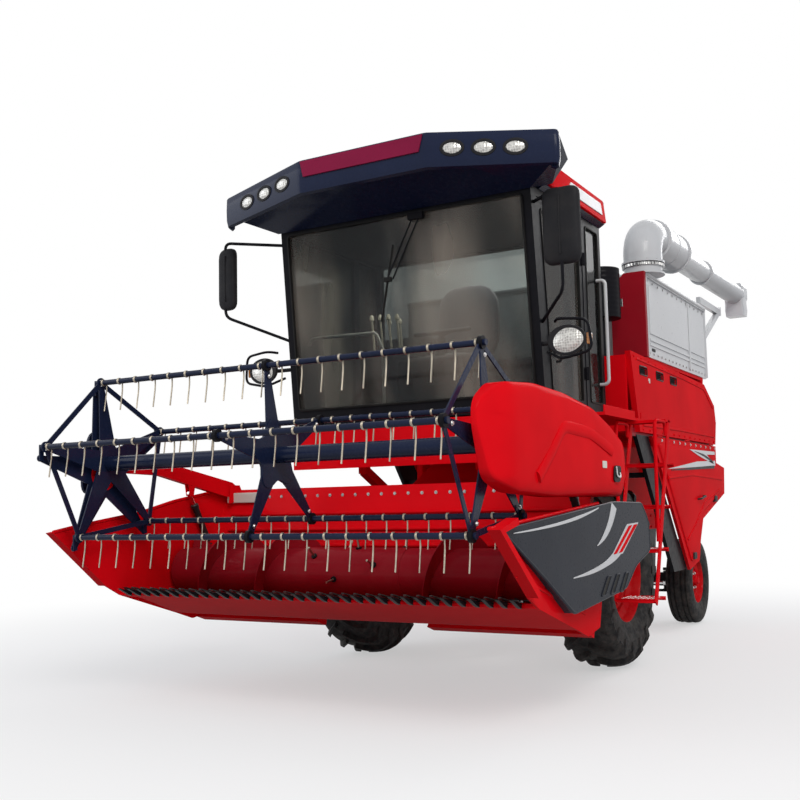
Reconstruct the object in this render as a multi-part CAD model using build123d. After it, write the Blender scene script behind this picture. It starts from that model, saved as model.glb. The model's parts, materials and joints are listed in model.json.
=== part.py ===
"""A wheeled self-propelled grain combine with a 2.7 m header, as an assembly of separate sub-parts.

Frame while modelling: millimetres, Z up from the ground, X to the machine's left, the machine
faces -Y, and Y = 0 at the drive axle.  write() then moves every sub-part by CENTRE_Y, so that
the finished machine's origin is on the ground at the middle of its length and width.
"""
from build123d import *
from math import atan2, cos, degrees, hypot, radians, sin, sqrt
import os

# ------------------------------------------------------------------ driving dimensions
# running gear
FRONT_TRACK = 1910.0          # between the drive tyres' middle planes
REAR_TRACK = 1600.0
WHEELBASE = 2740.0
FRONT_TYRE_R, FRONT_TYRE_W = 625.0, 380.0
FRONT_SEAT_R, REAR_SEAT_R = 318.0, 196.0
REAR_TYRE_R, REAR_TYRE_W = 385.0, 226.0
BEAD_X, REAR_BEAD_X = 150.0, 86.0
LUG_COUNT, LUG_H, LUG_T = 19, 38.0, 42.0
LUG_LEN, LUG_SLANT, LUG_X, LUG_ROOT = 190.0, 38.0, 94.0, 34.0
LUG_TOP = sqrt(FRONT_TYRE_R ** 2
               - (LUG_LEN / 2 * sin(radians(LUG_SLANT)) + LUG_T / 2 * cos(radians(LUG_SLANT))) ** 2)
RAIL_X, RAIL_W, RAIL_Z0, RAIL_Z1 = 450.0, 80.0, 860.0, 1010.0
HITCH_Y, HITCH_R = 3080.0, 16.0  # rear tow pin's bore
KINGPIN_R, KINGPIN_H = 24.0, 150.0
KINGPIN_X = 620.0             # kingpins, either side of the middle
STEER_ARM = 150.0             # kingpin to tie rod pin, rearwards

# header, drawn level with its knife at u = 0, w = 0 and then pitched up by HEADER_PITCH
HEADER_PITCH = 18.8
KNIFE_Y, KNIFE_Z = -2242.0, 635.0
HEADER_HALF_W = 1385.0        # inside face of the side walls
SIDE_T = 12.0
SHEET = 10.0                  # trough sheet
TROUGH_R = 270.0
TROUGH_U = 510.0              # auger axis behind the knife
BACK_TOP_W = 905.0
NOSE_FLANGE = 62.0            # width of the side walls' front flange
AUGER_DRUM_R, AUGER_FLIGHT_R = 150.0, 248.0
KNIFE_PITCH = 76.2
KNIFE_SECTIONS = int(2 * HEADER_HALF_W / KNIFE_PITCH) - 1

# reel
REEL_Y, REEL_Z = -2471.0, 1411.0
REEL_R = 488.0                # bat circle
ARM_X, ARM_T = HEADER_HALF_W - 35, 44.0   # reel arms' middle plane and thickness
REEL_HALF_W = ARM_X - 58
COVER_X0, COVER_X1 = ARM_X - 32, ARM_X + 96
BAT_COUNT, BAT_PHASE, BAT_R = 5, 81.8, 19.0
TINE_COUNT, TINE_LEN, TINE_T = 20, 152.0, 7.0
REEL_TUBE_R = 45.0
STAR_X = (30 - REEL_HALF_W, -20.0, REEL_HALF_W - 30)
STAR_T = 8.0
CRANK = 62.0                  # eccentric star's offset from the reel axis
REEL_PIVOT = (-1230.0, 1256.0)

# lift
LIFT_PIVOT = (150.0, 1350.0)  # feeder house hinge, Y and Z
LIFT_BASE, LIFT_EYE = (-120.0, 380.0), (-700.0, 680.0)   # lift cylinder's two pins
LIFT_X, LIFT_PIN_R, FEEDER_PIN_R = 250.0, 14.0, 30.0
REEL_BASE, REEL_EYE = (-1450.0, 880.0), (-1650.0, 1235.0)  # reel cylinder's two pins
REEL_PIN_R = 8.0
STEER_EYE_ARM, STEER_PIN_R = 110.0, 14.0
STEER_BASE = (60.0, WHEELBASE - STEER_EYE_ARM)
FEEDER_HALF_W = 370.0

# body
BODY_X = 1100.0               # side panels' outer face
BODY_INNER_X = 560.0          # threshing body's half width
TANK_X, TANK_Y0, TANK_Y1 = 1060.0, 900.0, 2740.0
TANK_SHOULDER, TANK_TOP = 2240.0, 2900.0
RISER_X, RISER_Y, RISER_R = 1020.0, 1010.0, 145.0
PIPE_Z, PIPE_R, PIPE_END = 3240.0, 100.0, 4130.0
PIPE_TOE = 1.4                # degrees the stowed pipe points outwards
RISER_TOP, ELBOW_R, ELBOW_BEND = 2990.0, 152.0, 175.0
COLLAR_START, COLLAR_END, SPOUT_HALF = 240.0, 800.0, 100.0
EMBOSS = 8.0                  # how far the tank's pressed panels stand out

# cab
CAB_X = 960.0                 # half width over the pillars
CAB_FLOOR_Z, CAB_ROOF_Z = 1700.0, 3100.0
CAB_FRONT_LOW, CAB_FRONT_TOP, CAB_REAR = -985.0, -1125.0, 150.0
CAB_DOOR_HINGE = (CAB_X + 10, -226.0)  # the door's hinge line, X and Y
PLATFORM_Z, PLATFORM_X = 1690.0, 1240.0

# clearances
RUN = 0.05                    # radial clearance of a pin in its bore
GAP = 6.0                     # between parts that pass each other
TUBE_SIDES = 8                # bent handrails and arms are eight-sided bars

REEL_FRONT = REEL_Y - REEL_R - BAT_R
PIPE_TAIL = PIPE_END
CENTRE_Y = -(REEL_FRONT + PIPE_TAIL) / 2


# ------------------------------------------------------------------ helpers
def block(x0, x1, y0, y1, z0, z1):
    """A box from two opposite corners, given in either order."""
    return Pos((x0 + x1) / 2, (y0 + y1) / 2, (z0 + z1) / 2) * Box(abs(x1 - x0), abs(y1 - y0), abs(z1 - z0))


def side_plate(points, x0, x1, radius=0.0):
    """A side-view outline of (Y, Z) points, extruded from x0 to x1."""
    outline = make_face(Polyline(*[(0, y, z) for y, z in points], close=True))
    if radius:
        outline = fillet(outline.vertices(), radius)
    plate = extrude(outline, amount=abs(x1 - x0), dir=(1, 0, 0))
    return Pos(min(x0, x1), 0, 0) * plate


def rod(start, end, r):
    """A round bar between two points."""
    a, b = Vector(*start), Vector(*end)
    return Plane(origin=a, z_dir=b - a) * Cylinder(r, (b - a).length,
                                                   align=(Align.CENTER, Align.CENTER, Align.MIN))


def cross_pin(y, z, x0, x1, r):
    """A round bar along X."""
    return rod((min(x0, x1), y, z), (max(x0, x1), y, z), r)


def side_bar(a, b, width, x0, x1):
    """A flat bar seen from the side, between two (Y, Z) points."""
    turn = degrees(atan2(b[1] - a[1], b[0] - a[0]))
    length = hypot(b[0] - a[0], b[1] - a[1])
    middle = Pos((x0 + x1) / 2, (a[0] + b[0]) / 2, (a[1] + b[1]) / 2)
    return middle * Rot(turn, 0, 0) * Box(abs(x1 - x0), length, width)


def tube_path(points, r, bend):
    """A bent tube, as a solid bar, along straight runs with rounded corners."""
    path = FilletPolyline(*points, radius=bend)
    start = Plane(origin=path @ 0, z_dir=path % 0)
    return sweep(start * RegularPolygon(r, TUBE_SIDES), path=path)


def polyhedron(points, faces):
    """A solid from named corner points and flat faces, each a string of point names."""
    shell = [Face(Wire.make_polygon([Vector(*points[n]) for n in face.split()], close=True))
             for face in faces]
    return Solid(Shell(shell))


def mirrored(part):
    """The same piece on the other side of the machine."""
    return mirror(part, about=Plane.YZ)


def head(u, w):
    """Header coordinates (behind the knife, above the floor line) to (Y, Z)."""
    c, s = cos(radians(HEADER_PITCH)), sin(radians(HEADER_PITCH))
    return (KNIFE_Y + u * c + w * s, KNIFE_Z - u * s + w * c)


def head_points(points):
    return [head(u, w) for u, w in points]


def write(name, *solids):
    """One STEP file per sub-part, shifted to the machine's own origin."""
    moved = [Pos(0, CENTRE_Y, 0) * s for s in solids]
    shape = moved[0] if len(moved) == 1 else Compound(children=[x for m in moved for x in m.solids()])
    export_step(shape, f"parts/{name}.step")
    print(name, len(shape.solids()))


# ------------------------------------------------------------------ wheels
def revolved(profile):
    """A closed outline of (x, r) points turned about the X axis."""
    outline = make_face(Polyline(*[(x, r, 0) for x, r in profile], close=True))
    return revolve(outline, axis=Axis.X)


def both_shoulders(right):
    """A profile's right half, carried on to its mirror image."""
    return right + [(-x, r) for x, r in reversed(right)]


def lug(side):
    """One slanted tread bar, from the middle of the tread out over its shoulder."""
    bar = Rot(0, 0, side * LUG_SLANT) * Box(LUG_LEN, LUG_T, LUG_H + LUG_ROOT)
    return Pos(side * LUG_X, 0, LUG_TOP - (LUG_H + LUG_ROOT) / 2) * bar


def wheel_ring(r, thick):
    """A ring of six-sided section about Z."""
    section = Plane.XZ * Pos(r, 0) * RegularPolygon(thick, 6)
    return revolve(section, axis=Axis.Z)


def front_tyre():
    half = FRONT_TYRE_W / 2
    tread = FRONT_TYRE_R - LUG_H
    carcass = revolved(both_shoulders([(BEAD_X, FRONT_SEAT_R), (half, 440), (half - 26, tread)]))
    step = 360 / LUG_COUNT
    bars = []
    for side, phase in ((1, 0.0), (-1, 0.5)):
        bars += [Rot((k + phase) * step, 0, 0) * lug(side) for k in range(LUG_COUNT)]
    return carcass + bars


def front_rim():
    s, wall = FRONT_SEAT_R, 14
    profile = [(-BEAD_X, s), (BEAD_X, s), (BEAD_X, s - wall), (60, s - wall - 6), (40, 160), (88, 130),
               (88, 0),
               (70, 0), (70, 112), (18, 150), (36, s - wall - 6), (-BEAD_X, s - wall)]
    return revolved(profile)


def rear_tyre():
    half = REAR_TYRE_W / 2
    return revolved(both_shoulders([(REAR_BEAD_X, REAR_SEAT_R), (half, 285), (half - 16, REAR_TYRE_R)]))


def rear_rim():
    s, wall = REAR_SEAT_R, 12
    profile = [(-REAR_BEAD_X, s), (REAR_BEAD_X, s), (REAR_BEAD_X, s - wall), (24, s - wall), (50, 72),
               (50, 0),
               (36, 0), (36, 60), (8, s - wall), (-REAR_BEAD_X, s - wall)]
    return revolved(profile)


def write_wheels():
    for name, part in (("tyre", front_tyre()), ("rim", front_rim())):
        left = Pos(FRONT_TRACK / 2, 0, FRONT_TYRE_R) * part
        write(f"front_{name}_left", left)
        write(f"front_{name}_right", mirrored(left))
    for name, part in (("tyre", rear_tyre()), ("rim", rear_rim())):
        left = Pos(REAR_TRACK / 2, WHEELBASE, REAR_TYRE_R) * part
        write(f"rear_{name}_left", left)
        write(f"rear_{name}_right", mirrored(left))


# ------------------------------------------------------------------ axles and steering
def drive_axle():
    z = FRONT_TYRE_R
    hub_end = FRONT_TRACK / 2 + 70 - GAP
    axle = block(-620, 620, -80, 80, z - 80, z + 80) + Pos(0, 0, z) * Cylinder(170, 240)
    for s in (-1, 1):
        final_drive = cross_pin(0, z, s * 600, s * (FRONT_TRACK / 2 - BEAD_X - 45), 150)
        hub = cross_pin(0, z, s * 700, s * hub_end, 95)
        saddle = block(s * RAIL_X - 55, s * RAIL_X + 55, -90, 90, z, RAIL_Z0)
        y, base_z = LIFT_BASE
        ear = side_plate([(40, z - 30), (y - 34, base_z + 14), (y - 24, base_z - 28), (y + 26, base_z - 24),
                          (80, z - 60)],
                         s * LIFT_X - 34, s * LIFT_X - 24)
        other_ear = Pos(58, 0, 0) * ear
        pin = cross_pin(*LIFT_BASE, s * LIFT_X - 40, s * LIFT_X + 40, LIFT_PIN_R)
        axle = axle + [final_drive, hub, saddle, ear, other_ear, pin]
    return axle


def chassis_frame():
    frame = block(-70, 70, 2980, HITCH_Y + 50, 880, 960) - Pos(0, HITCH_Y, 920) * Cylinder(HITCH_R, 100)
    for y in (720, 1500, 2300, 2920):
        frame += block(-RAIL_X, RAIL_X, y, y + 80, RAIL_Z0 + 20, RAIL_Z1 - 20)
    y, z = LIFT_PIVOT
    for s in (-1, 1):
        rail = block(s * RAIL_X - RAIL_W / 2, s * RAIL_X + RAIL_W / 2, -160, 3000, RAIL_Z0, RAIL_Z1)
        tower = side_plate([(y - 170, RAIL_Z1), (y + 120, RAIL_Z1), (y + 80, z + 70), (y - 80, z + 70)],
                           s * (FEEDER_HALF_W + 30), s * (FEEDER_HALF_W + 60))
        bore = cross_pin(y, z, s * 300, s * 500, FEEDER_PIN_R + RUN)
        frame = frame + rail + (tower - bore)
        post = block(s * RAIL_X - 30, s * RAIL_X + 30, -900, -840, RAIL_Z1 + 340, PLATFORM_Z - 60)
        brace = side_bar((-870, RAIL_Z1 + 360), (-100, RAIL_Z1 - 20), 60, s * RAIL_X - 30, s * RAIL_X + 30)
        rear_post = block(s * RAIL_X - 15, s * RAIL_X + 30, -90, -40, RAIL_Z1 - 10, PLATFORM_Z - 60)
        frame = frame + post + brace + rear_post
    return frame


def steering_axle():
    z = REAR_TYRE_R + 10
    axle = block(-KINGPIN_X, KINGPIN_X, WHEELBASE - 55, WHEELBASE + 55, z - 60, z + 60)
    for s in (-1, 1):
        axle += Pos(s * KINGPIN_X, WHEELBASE, z) * Cylinder(46, KINGPIN_H)
        axle += side_plate([(WHEELBASE - 150, RAIL_Z0), (WHEELBASE + 150, RAIL_Z0),
                            (WHEELBASE + 55, z + 40),
                            (WHEELBASE - 55, z + 40)], s * RAIL_X - 30, s * RAIL_X + 30)
    for s in (-1, 1):
        axle -= Pos(s * KINGPIN_X, WHEELBASE, z) * Cylinder(KINGPIN_R + RUN, KINGPIN_H + 10)
    bx, by = STEER_BASE
    for dz in (-60, -4):
        axle += block(bx - 30, bx + 30, by - 30, WHEELBASE - 55, z + dz, z + dz + 12)
    return axle + Pos(bx, by, z - 25) * Cylinder(STEER_PIN_R, 70)


def knuckle(s):
    """One fork round the axle's end, with its kingpin, stub axle and steering arm."""
    z = REAR_TYRE_R + 10
    x, y = s * KINGPIN_X, WHEELBASE
    reach = KINGPIN_H / 2 + GAP
    part = Pos(x, y, z) * Cylinder(KINGPIN_R, KINGPIN_H + 2 * GAP + 40)
    for zz in (z + reach + 12, z - reach - 12):
        part += Pos(x, y, zz) * Cylinder(48, 24)
        part += block(x, x + s * 100, y - 40, y + 40, zz - 12, zz + 12)
    part += block(x + s * 56, x + s * 100, y - 48, y + 48, z - reach - 24, z + reach + 24)
    part += cross_pin(y, REAR_TYRE_R, x + s * 80, s * (REAR_TRACK / 2 + 36), 34)
    arm_z = z - reach - 12
    part += block(x - 22, x + 22, y, y + STEER_ARM, arm_z - 12, arm_z + 12)
    part += Pos(x, y + STEER_ARM, arm_z - 14) * Cylinder(14, 52)
    return part


def tie_rod():
    z = REAR_TYRE_R + 10 - KINGPIN_H / 2 - GAP - 12 - 24 - 2
    y = WHEELBASE + STEER_ARM
    part = cross_pin(y, z, -KINGPIN_X, KINGPIN_X, 13)
    for s in (-1, 1):
        part += Pos(s * KINGPIN_X, y, z) * Cylinder(28, 22)
    for s in (-1, 1):
        part -= Pos(s * KINGPIN_X, y, z) * Cylinder(14 + RUN, 60)
    return part


def cylinder_pair(base, eye, x, bore_pin, barrel_r, rod_r, barrel_len, rod_len, slack, eye_w):
    """A hydraulic cylinder drawn along its own axis: its barrel with an eye at base, and its rod with an eye.

    Both come back in place, in the plane X = x; slack is added to the rod eye's radius, because the
    rod's pin belongs to the piece that it moves.
    """
    length = hypot(eye[0] - base[0], eye[1] - base[1])
    turn = degrees(atan2(eye[1] - base[1], eye[0] - base[0]))
    place = Pos(x, base[0], base[1]) * Rot(turn, 0, 0)
    eye_r = bore_pin + 12
    along = Rot(-90, 0, 0)
    start = eye_r + 18
    barrel = (Rot(0, 90, 0) * Cylinder(eye_r, eye_w)
              + Pos(0, start / 2, 0) * along * Cylinder(eye_w / 2, start))
    barrel += Pos(0, (start + barrel_len) / 2, 0) * along * Cylinder(barrel_r, barrel_len - start)
    barrel += Pos(0, barrel_len - 12, 0) * along * Cylinder(barrel_r + 4, 24)
    barrel -= Rot(0, 90, 0) * Cylinder(bore_pin + RUN, 4 * barrel_r)
    barrel -= Pos(0, eye_r + 20 + barrel_len / 2, 0) * along * Cylinder(rod_r + RUN, barrel_len)
    rod_part = Pos(0, length - rod_len / 2, 0) * along * Cylinder(rod_r, rod_len)
    rod_part += Pos(0, length, 0) * Rot(0, 90, 0) * Cylinder(eye_r + 2, eye_w)
    rod_part -= Pos(0, length, 0) * Rot(0, 90, 0) * Cylinder(bore_pin + slack, 4 * barrel_r)
    return place * barrel, place * rod_part


def write_steering():
    for s, name in ((1, "left"), (-1, "right")):
        part = knuckle(s)
        if s > 0:
            arm_z = REAR_TYRE_R + 10 - KINGPIN_H / 2 - GAP - 12
            part += block(KINGPIN_X - 20, KINGPIN_X + 20, WHEELBASE - STEER_EYE_ARM - 20, WHEELBASE,
                          arm_z - 12, arm_z + 12)
            part += Pos(KINGPIN_X, WHEELBASE - STEER_EYE_ARM, arm_z + 20) * Cylinder(16, 40)
        write(f"knuckle_{name}", part)
    write("steering_axle", steering_axle())
    write("tie_rod", tie_rod())
    bx, by = STEER_BASE
    z = REAR_TYRE_R + 10 - 26
    length = KINGPIN_X - bx
    barrel = Pos(bx, by, z) * Cylinder(28, 34) + rod((bx, by, z), (bx + 40, by, z), 14)
    barrel += rod((bx + 40, by, z), (bx + 330, by, z), 30)
    barrel -= Pos(bx, by, z) * Cylinder(STEER_PIN_R + RUN, 60)
    barrel -= rod((bx + 60, by, z), (bx + 400, by, z), 15 + RUN)
    ram = (rod((bx + 170, by, z), (bx + length - 10, by, z), 15)
           + Pos(KINGPIN_X, by, z - 4) * Cylinder(24, 30))
    write("steering_cylinder_barrel", barrel)
    write("steering_cylinder_rod", ram)


# ------------------------------------------------------------------ header
def trough_sheet():
    """Floor, quarter-round trough and back wall as one bent sheet, in header coordinates."""
    cu, cw, r, t = TROUGH_U, TROUGH_R, TROUGH_R, SHEET
    k = sqrt(0.5)
    inner = [head(0, 0), head(cu, 0), head(cu + r, cw), head(cu + r, BACK_TOP_W)]
    outer = [head(cu + r + t, BACK_TOP_W), head(cu + r + t, cw), head(cu, -t), head(0, -t)]

    def v(p):
        return (0, p[0], p[1])
    edges = [Line(v(inner[0]), v(inner[1])),
             ThreePointArc(v(inner[1]), v(head(cu + r * k, cw - r * k)), v(inner[2])),
             Line(v(inner[2]), v(inner[3])), Line(v(inner[3]), v(outer[0])), Line(v(outer[0]), v(outer[1])),
             ThreePointArc(v(outer[1]), v(head(cu + (r + t) * k, cw - (r + t) * k)), v(outer[2])),
             Line(v(outer[2]), v(outer[3])), Line(v(outer[3]), v(inner[0]))]
    sheet = extrude(make_face(edges), amount=2 * HEADER_HALF_W, dir=(1, 0, 0))
    return Pos(-HEADER_HALF_W, 0, 0) * sheet


MOUTH = (FEEDER_HALF_W - 12, 60.0, 430.0)     # feeder mouth: half width, low and high w


def header_frame():
    w = HEADER_HALF_W
    back = TROUGH_U + TROUGH_R + SHEET
    frame = trough_sheet()
    frame += side_plate(head_points([(back, BACK_TOP_W - 60), (back + 80, BACK_TOP_W - 60),
                                     (back + 80, BACK_TOP_W + 20),
                                     (back - SHEET, BACK_TOP_W + 20), (back - SHEET, BACK_TOP_W)]), -w, w)
    frame += side_plate(head_points([(back - 60, 10), (back + 30, 10), (back + 30, 80), (back - 30, 80)]),
                        -w, -MOUTH[0] - 30)
    frame += side_plate(head_points([(back - 60, 10), (back + 30, 10), (back + 30, 80), (back - 30, 80)]),
                        MOUTH[0] + 30, w)
    frame += side_plate(head_points([(-6, -26), (40, -26), (40, -SHEET), (-6, -SHEET)]), -w, w)
    for x in (-w + 60, -820, 820, w - 60):
        frame += side_plate(head_points([(back, 80), (back + 40, 80), (back + 40, BACK_TOP_W - 60),
                                         (back, BACK_TOP_W - 60)]),
                            x - 30, x + 30)
    top = BACK_TOP_W + 20
    right = [(-634, 178), (-458, 273), (-9, 497), (277, 673), (761, top), (back + 80, top), (back + 80, 80),
             (700, -8),
             (543, -SHEET), (0, -26), (-137, -5)]
    left = [(-634, 178), (-458, 250), (699, 740), (back + 80, 740), (back + 80, 80), (700, -8),
            (543, -SHEET), (0, -26), (-137, -5)]
    frame += side_plate(head_points(right), -w - SIDE_T, -w)
    frame += side_plate(head_points(left), w, w + SIDE_T)
    mouth = side_plate(head_points([(TROUGH_U + TROUGH_R * 0.6, MOUTH[1]), (back + 60, MOUTH[1]),
                                    (back + 60, MOUTH[2]),
                                    (TROUGH_U + TROUGH_R * 0.6, MOUTH[2])]), -MOUTH[0], MOUTH[0])
    frame -= mouth
    for s in (-1, 1):
        frame -= block(s * (ARM_X - 34), s * (w - 3), -1340, -1050, 1180, 1420)
    frame -= block(ARM_X - 34, w + 40, -1420, -1000, 1080, 1420)
    for s in (-1, 1):
        y, z = REEL_PIVOT
        ear = side_plate([(y - 40, z + 36), (y + 36, z + 36), (y + 90, z - 60), (y - 60, z - 90)], s * 1292,
                         s * 1314)
        ear -= cross_pin(y, z, s * 1200, s * 1400, 20 + RUN)
        frame += ear
        frame += side_plate([(y + 20, z - 70), (y + 95, z - 70), (y + 95, z - 10), (y + 40, z - 10)],
                            s * 1292, s * 1314)
        frame += cross_pin(*REEL_BASE, s * (ARM_X - 22), s * w, REEL_PIN_R)
    nose = [(-634, 178), (-600, 196), (-110, 26), (-137, -5)]
    frame += (side_plate(head_points(nose), w, w + NOSE_FLANGE)
              + side_plate(head_points(nose), -w - NOSE_FLANGE, -w))
    top_nose = [(-634, 178), (-600, 170), (-440, 262), (-458, 290)]
    frame += side_plate(head_points(top_nose), w, w + NOSE_FLANGE)
    guards = [side_plate(head_points([(-112, -14), (-30, -26), (0, -26), (0, -6), (-40, -6)]), x - 9, x + 9)
              for x in knife_places()]
    return frame + guards


def knife_places():
    first = -(KNIFE_SECTIONS - 1) / 2 * KNIFE_PITCH
    return [first + k * KNIFE_PITCH for k in range(KNIFE_SECTIONS)]


def knife():
    """The sliding knife: a back bar with a row of tapered sections."""
    y, z = KNIFE_Y, KNIFE_Z
    plane = Plane(origin=(0, y, z), x_dir=(1, 0, 0), z_dir=(0, head(0, 1)[0] - y, head(0, 1)[1] - z))
    half = KNIFE_SECTIONS * KNIFE_PITCH / 2 - 42
    outline = [(-half, -8), (half, -8), (half, -30)]
    places = [x for x in knife_places() if abs(x) < half - 36]
    for x in reversed(places):
        outline += [(x + 36, -30), (x + 8, -84), (x - 8, -84), (x - 36, -30)]
    outline += [(-half, -30)]
    face = plane * make_face(Polyline(*[(a, b, 2.5) for a, b in outline], close=True))
    return extrude(face, amount=5, dir=plane.z_dir)


def helix_flight(x0, x1, turns, hand, r_in, r_out, thick, steps):
    """A screw flight about the X axis as a faceted ribbon, from x0 to x1."""
    count = round(turns * steps)
    corners = []
    for i in range(count + 1):
        a = hand * radians(360 * turns * i / count)
        x = x0 + (x1 - x0) * i / count
        corners.append([Vector(x + dx, r * cos(a), r * sin(a)) for dx, r in
                        ((-thick / 2, r_in), (-thick / 2, r_out), (thick / 2, r_out), (thick / 2, r_in))])
    faces = [Face(Wire.make_polygon(corners[0], close=True)),
             Face(Wire.make_polygon(corners[-1], close=True))]
    for a, b in zip(corners, corners[1:]):
        for j in range(4):
            k = (j + 1) % 4
            faces.append(Face(Wire.make_polygon([a[j], a[k], b[k]], close=True)))
            faces.append(Face(Wire.make_polygon([a[j], b[k], b[j]], close=True)))
    solid = Solid(Shell(faces))
    return solid


def header_auger():
    y, z = head(TROUGH_U, TROUGH_R)
    end = HEADER_HALF_W - GAP
    auger = rod((-end + 60, 0, 0), (end - 60, 0, 0), AUGER_DRUM_R) + rod((-end, 0, 0), (end, 0, 0), 30)
    for s in (-1, 1):
        auger += helix_flight(s * (end - 80), s * 380, 2, -1, AUGER_DRUM_R - 8, AUGER_FLIGHT_R, 6, 12)
    for k in range(8):
        finger = rod((0, 0, AUGER_DRUM_R - 10), (0, 0, AUGER_FLIGHT_R - 6), 8)
        auger += Pos((k - 3.5) * 90, 0, 0) * Rot(k * 135, 0, 0) * finger
    return Pos(0, y, z) * auger


def write_header():
    write("header_frame", header_frame())
    write("header_auger", header_auger())
    write("cutter_knife", knife())
    shield = side_plate(SHIELD_OUTLINE, HEADER_HALF_W + SIDE_T, SHIELD_X1)
    cutter = Plane(origin=(SHIELD_X0, SHIELD_OUTLINE[0][0], 0), x_dir=(0, 0, 1),
                   z_dir=(1, -SHIELD_FLARE, 0)) 
    waste = cutter * Pos(0, 0, 500) * Box(4000, 6000, 1000)
    shield -= waste
    shield -= block(HEADER_HALF_W, COVER_X1 + GAP, -1500, -700, 1040, 1200)
    write("divider_shields", shield, mirrored(shield))


SHIELD_X0, SHIELD_X1, SHIELD_FLARE = 1412.0, 1518.0, 0.056
SHIELD_OUTLINE = [(-2680, 1000), (-1340, 1116), (-900, 1108), (-800, 1000), (-790, 830), (-1030, 755),
                  (-1200, 635),
                  (-1920, 560), (-2240, 753)]


# ------------------------------------------------------------------ reel
def star_angles():
    return [BAT_PHASE + k * 360 / BAT_COUNT for k in range(BAT_COUNT)]


def bat_centre(angle):
    return (REEL_Y - REEL_R * cos(radians(angle)), REEL_Z + REEL_R * sin(radians(angle)))


def star(x, hole, hub_r, hub_hole, ring, shift=(0.0, 0.0)):
    """A five-armed star of plate: tapered arms, eyes at the tips and, on some, bars from tip to tip."""
    cy, cz = REEL_Y + shift[0], REEL_Z + shift[1]
    part = cross_pin(cy, cz, x - STAR_T / 2, x + STAR_T / 2, hub_r)
    tips = [(bat_centre(a)[0] + shift[0], bat_centre(a)[1] + shift[1]) for a in star_angles()]
    for k, tip in enumerate(tips):
        dy, dz = (tip[0] - cy) / REEL_R, (tip[1] - cz) / REEL_R
        root, end = hub_r * 0.8, 17.0
        arm = [(cy - dz * root, cz + dy * root), (cy + dz * root, cz - dy * root),
               (tip[0] + dz * end, tip[1] - dy * end), (tip[0] - dz * end, tip[1] + dy * end)]
        part += side_plate(arm, x - STAR_T / 2, x + STAR_T / 2)
        part += cross_pin(*tip, x - STAR_T / 2, x + STAR_T / 2, hole + 12)
        if ring:
            part += side_bar(tip, tips[(k + 1) % BAT_COUNT], 30, x - STAR_T / 2, x + STAR_T / 2)
    for tip in tips:
        part -= cross_pin(*tip, x - 20, x + 20, hole + RUN)
    if hub_hole:
        part -= cross_pin(cy, cz, x - 20, x + 20, hub_hole)
    return part


def reel_frame():
    frame = cross_pin(REEL_Y, REEL_Z, STAR_X[0], STAR_X[2], REEL_TUBE_R)
    frame += cross_pin(REEL_Y, REEL_Z, -ARM_X - 18, ARM_X + 18, 25)
    for k, x in enumerate(STAR_X):
        frame += star(x, BAT_R, 92, 0, k != 1)
    return frame


def bat():
    """One bat of the reel at the reel's own centre: its tube, crank and row of tines hanging down."""
    tube = rod((-REEL_HALF_W - 8, 0, 0), (REEL_HALF_W, 0, 0), BAT_R)
    tube += side_bar((0, 0), (0, -CRANK), 26, -REEL_HALF_W - 8, -REEL_HALF_W)
    tube += rod((-REEL_HALF_W - 22, 0, -CRANK), (-REEL_HALF_W, 0, -CRANK), 7)
    t = TINE_T
    shape = [(-t, -BAT_R * 0.6), (t, -BAT_R * 0.6), (-t * 1.2, -BAT_R - TINE_LEN),
             (-t * 2.2, -BAT_R - TINE_LEN)]
    pitch = 2 * (REEL_HALF_W - 52) / (TINE_COUNT - 1)
    tines = [side_plate(shape, -t / 2 + (k - (TINE_COUNT - 1) / 2) * pitch,
                        t / 2 + (k - (TINE_COUNT - 1) / 2) * pitch)
             for k in range(TINE_COUNT)]
    return tube + tines


def reel_arms():
    y, z = REEL_PIVOT
    outline = [(y + 44, z - 20), (y + 44, z + 30), (y, z + 56), (-1960, 1446), (-2540, 1452), (-2540, 1370),
               (-1960, 1352), (y - 60, z - 44), (y + 10, z - 44)]
    parts = []
    for s in (-1, 1):
        x0, x1 = s * (ARM_X - ARM_T / 2), s * (ARM_X + ARM_T / 2)
        arm = side_plate(outline, x0, x1) - cross_pin(REEL_Y, REEL_Z, s * 1200, s * 1500, 25 + RUN)
        arm += cross_pin(y, z, s * 1288, x1, 20)
        for x in (s * (ARM_X - 16), s * (ARM_X + 16)):
            arm += side_plate([(REEL_EYE[0] - 16, REEL_EYE[1] - 16), (REEL_EYE[0] + 16, REEL_EYE[1] - 16),
                               (REEL_EYE[0] + 34, 1310), (REEL_EYE[0] - 34, 1310)], x - 4, x + 4)
        arm += cross_pin(*REEL_EYE, s * (ARM_X - 20), s * (ARM_X + 20), REEL_PIN_R)
        parts.append(arm)
    x_in, x_star = -(ARM_X - ARM_T / 2), -REEL_HALF_W - 12
    carrier = (cross_pin(REEL_Y, REEL_Z - CRANK, x_in, x_star, 99.9)
               - cross_pin(REEL_Y, REEL_Z, -1400, -1200, 31))
    parts[0] += carrier
    return parts[0] + parts[1]


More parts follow.
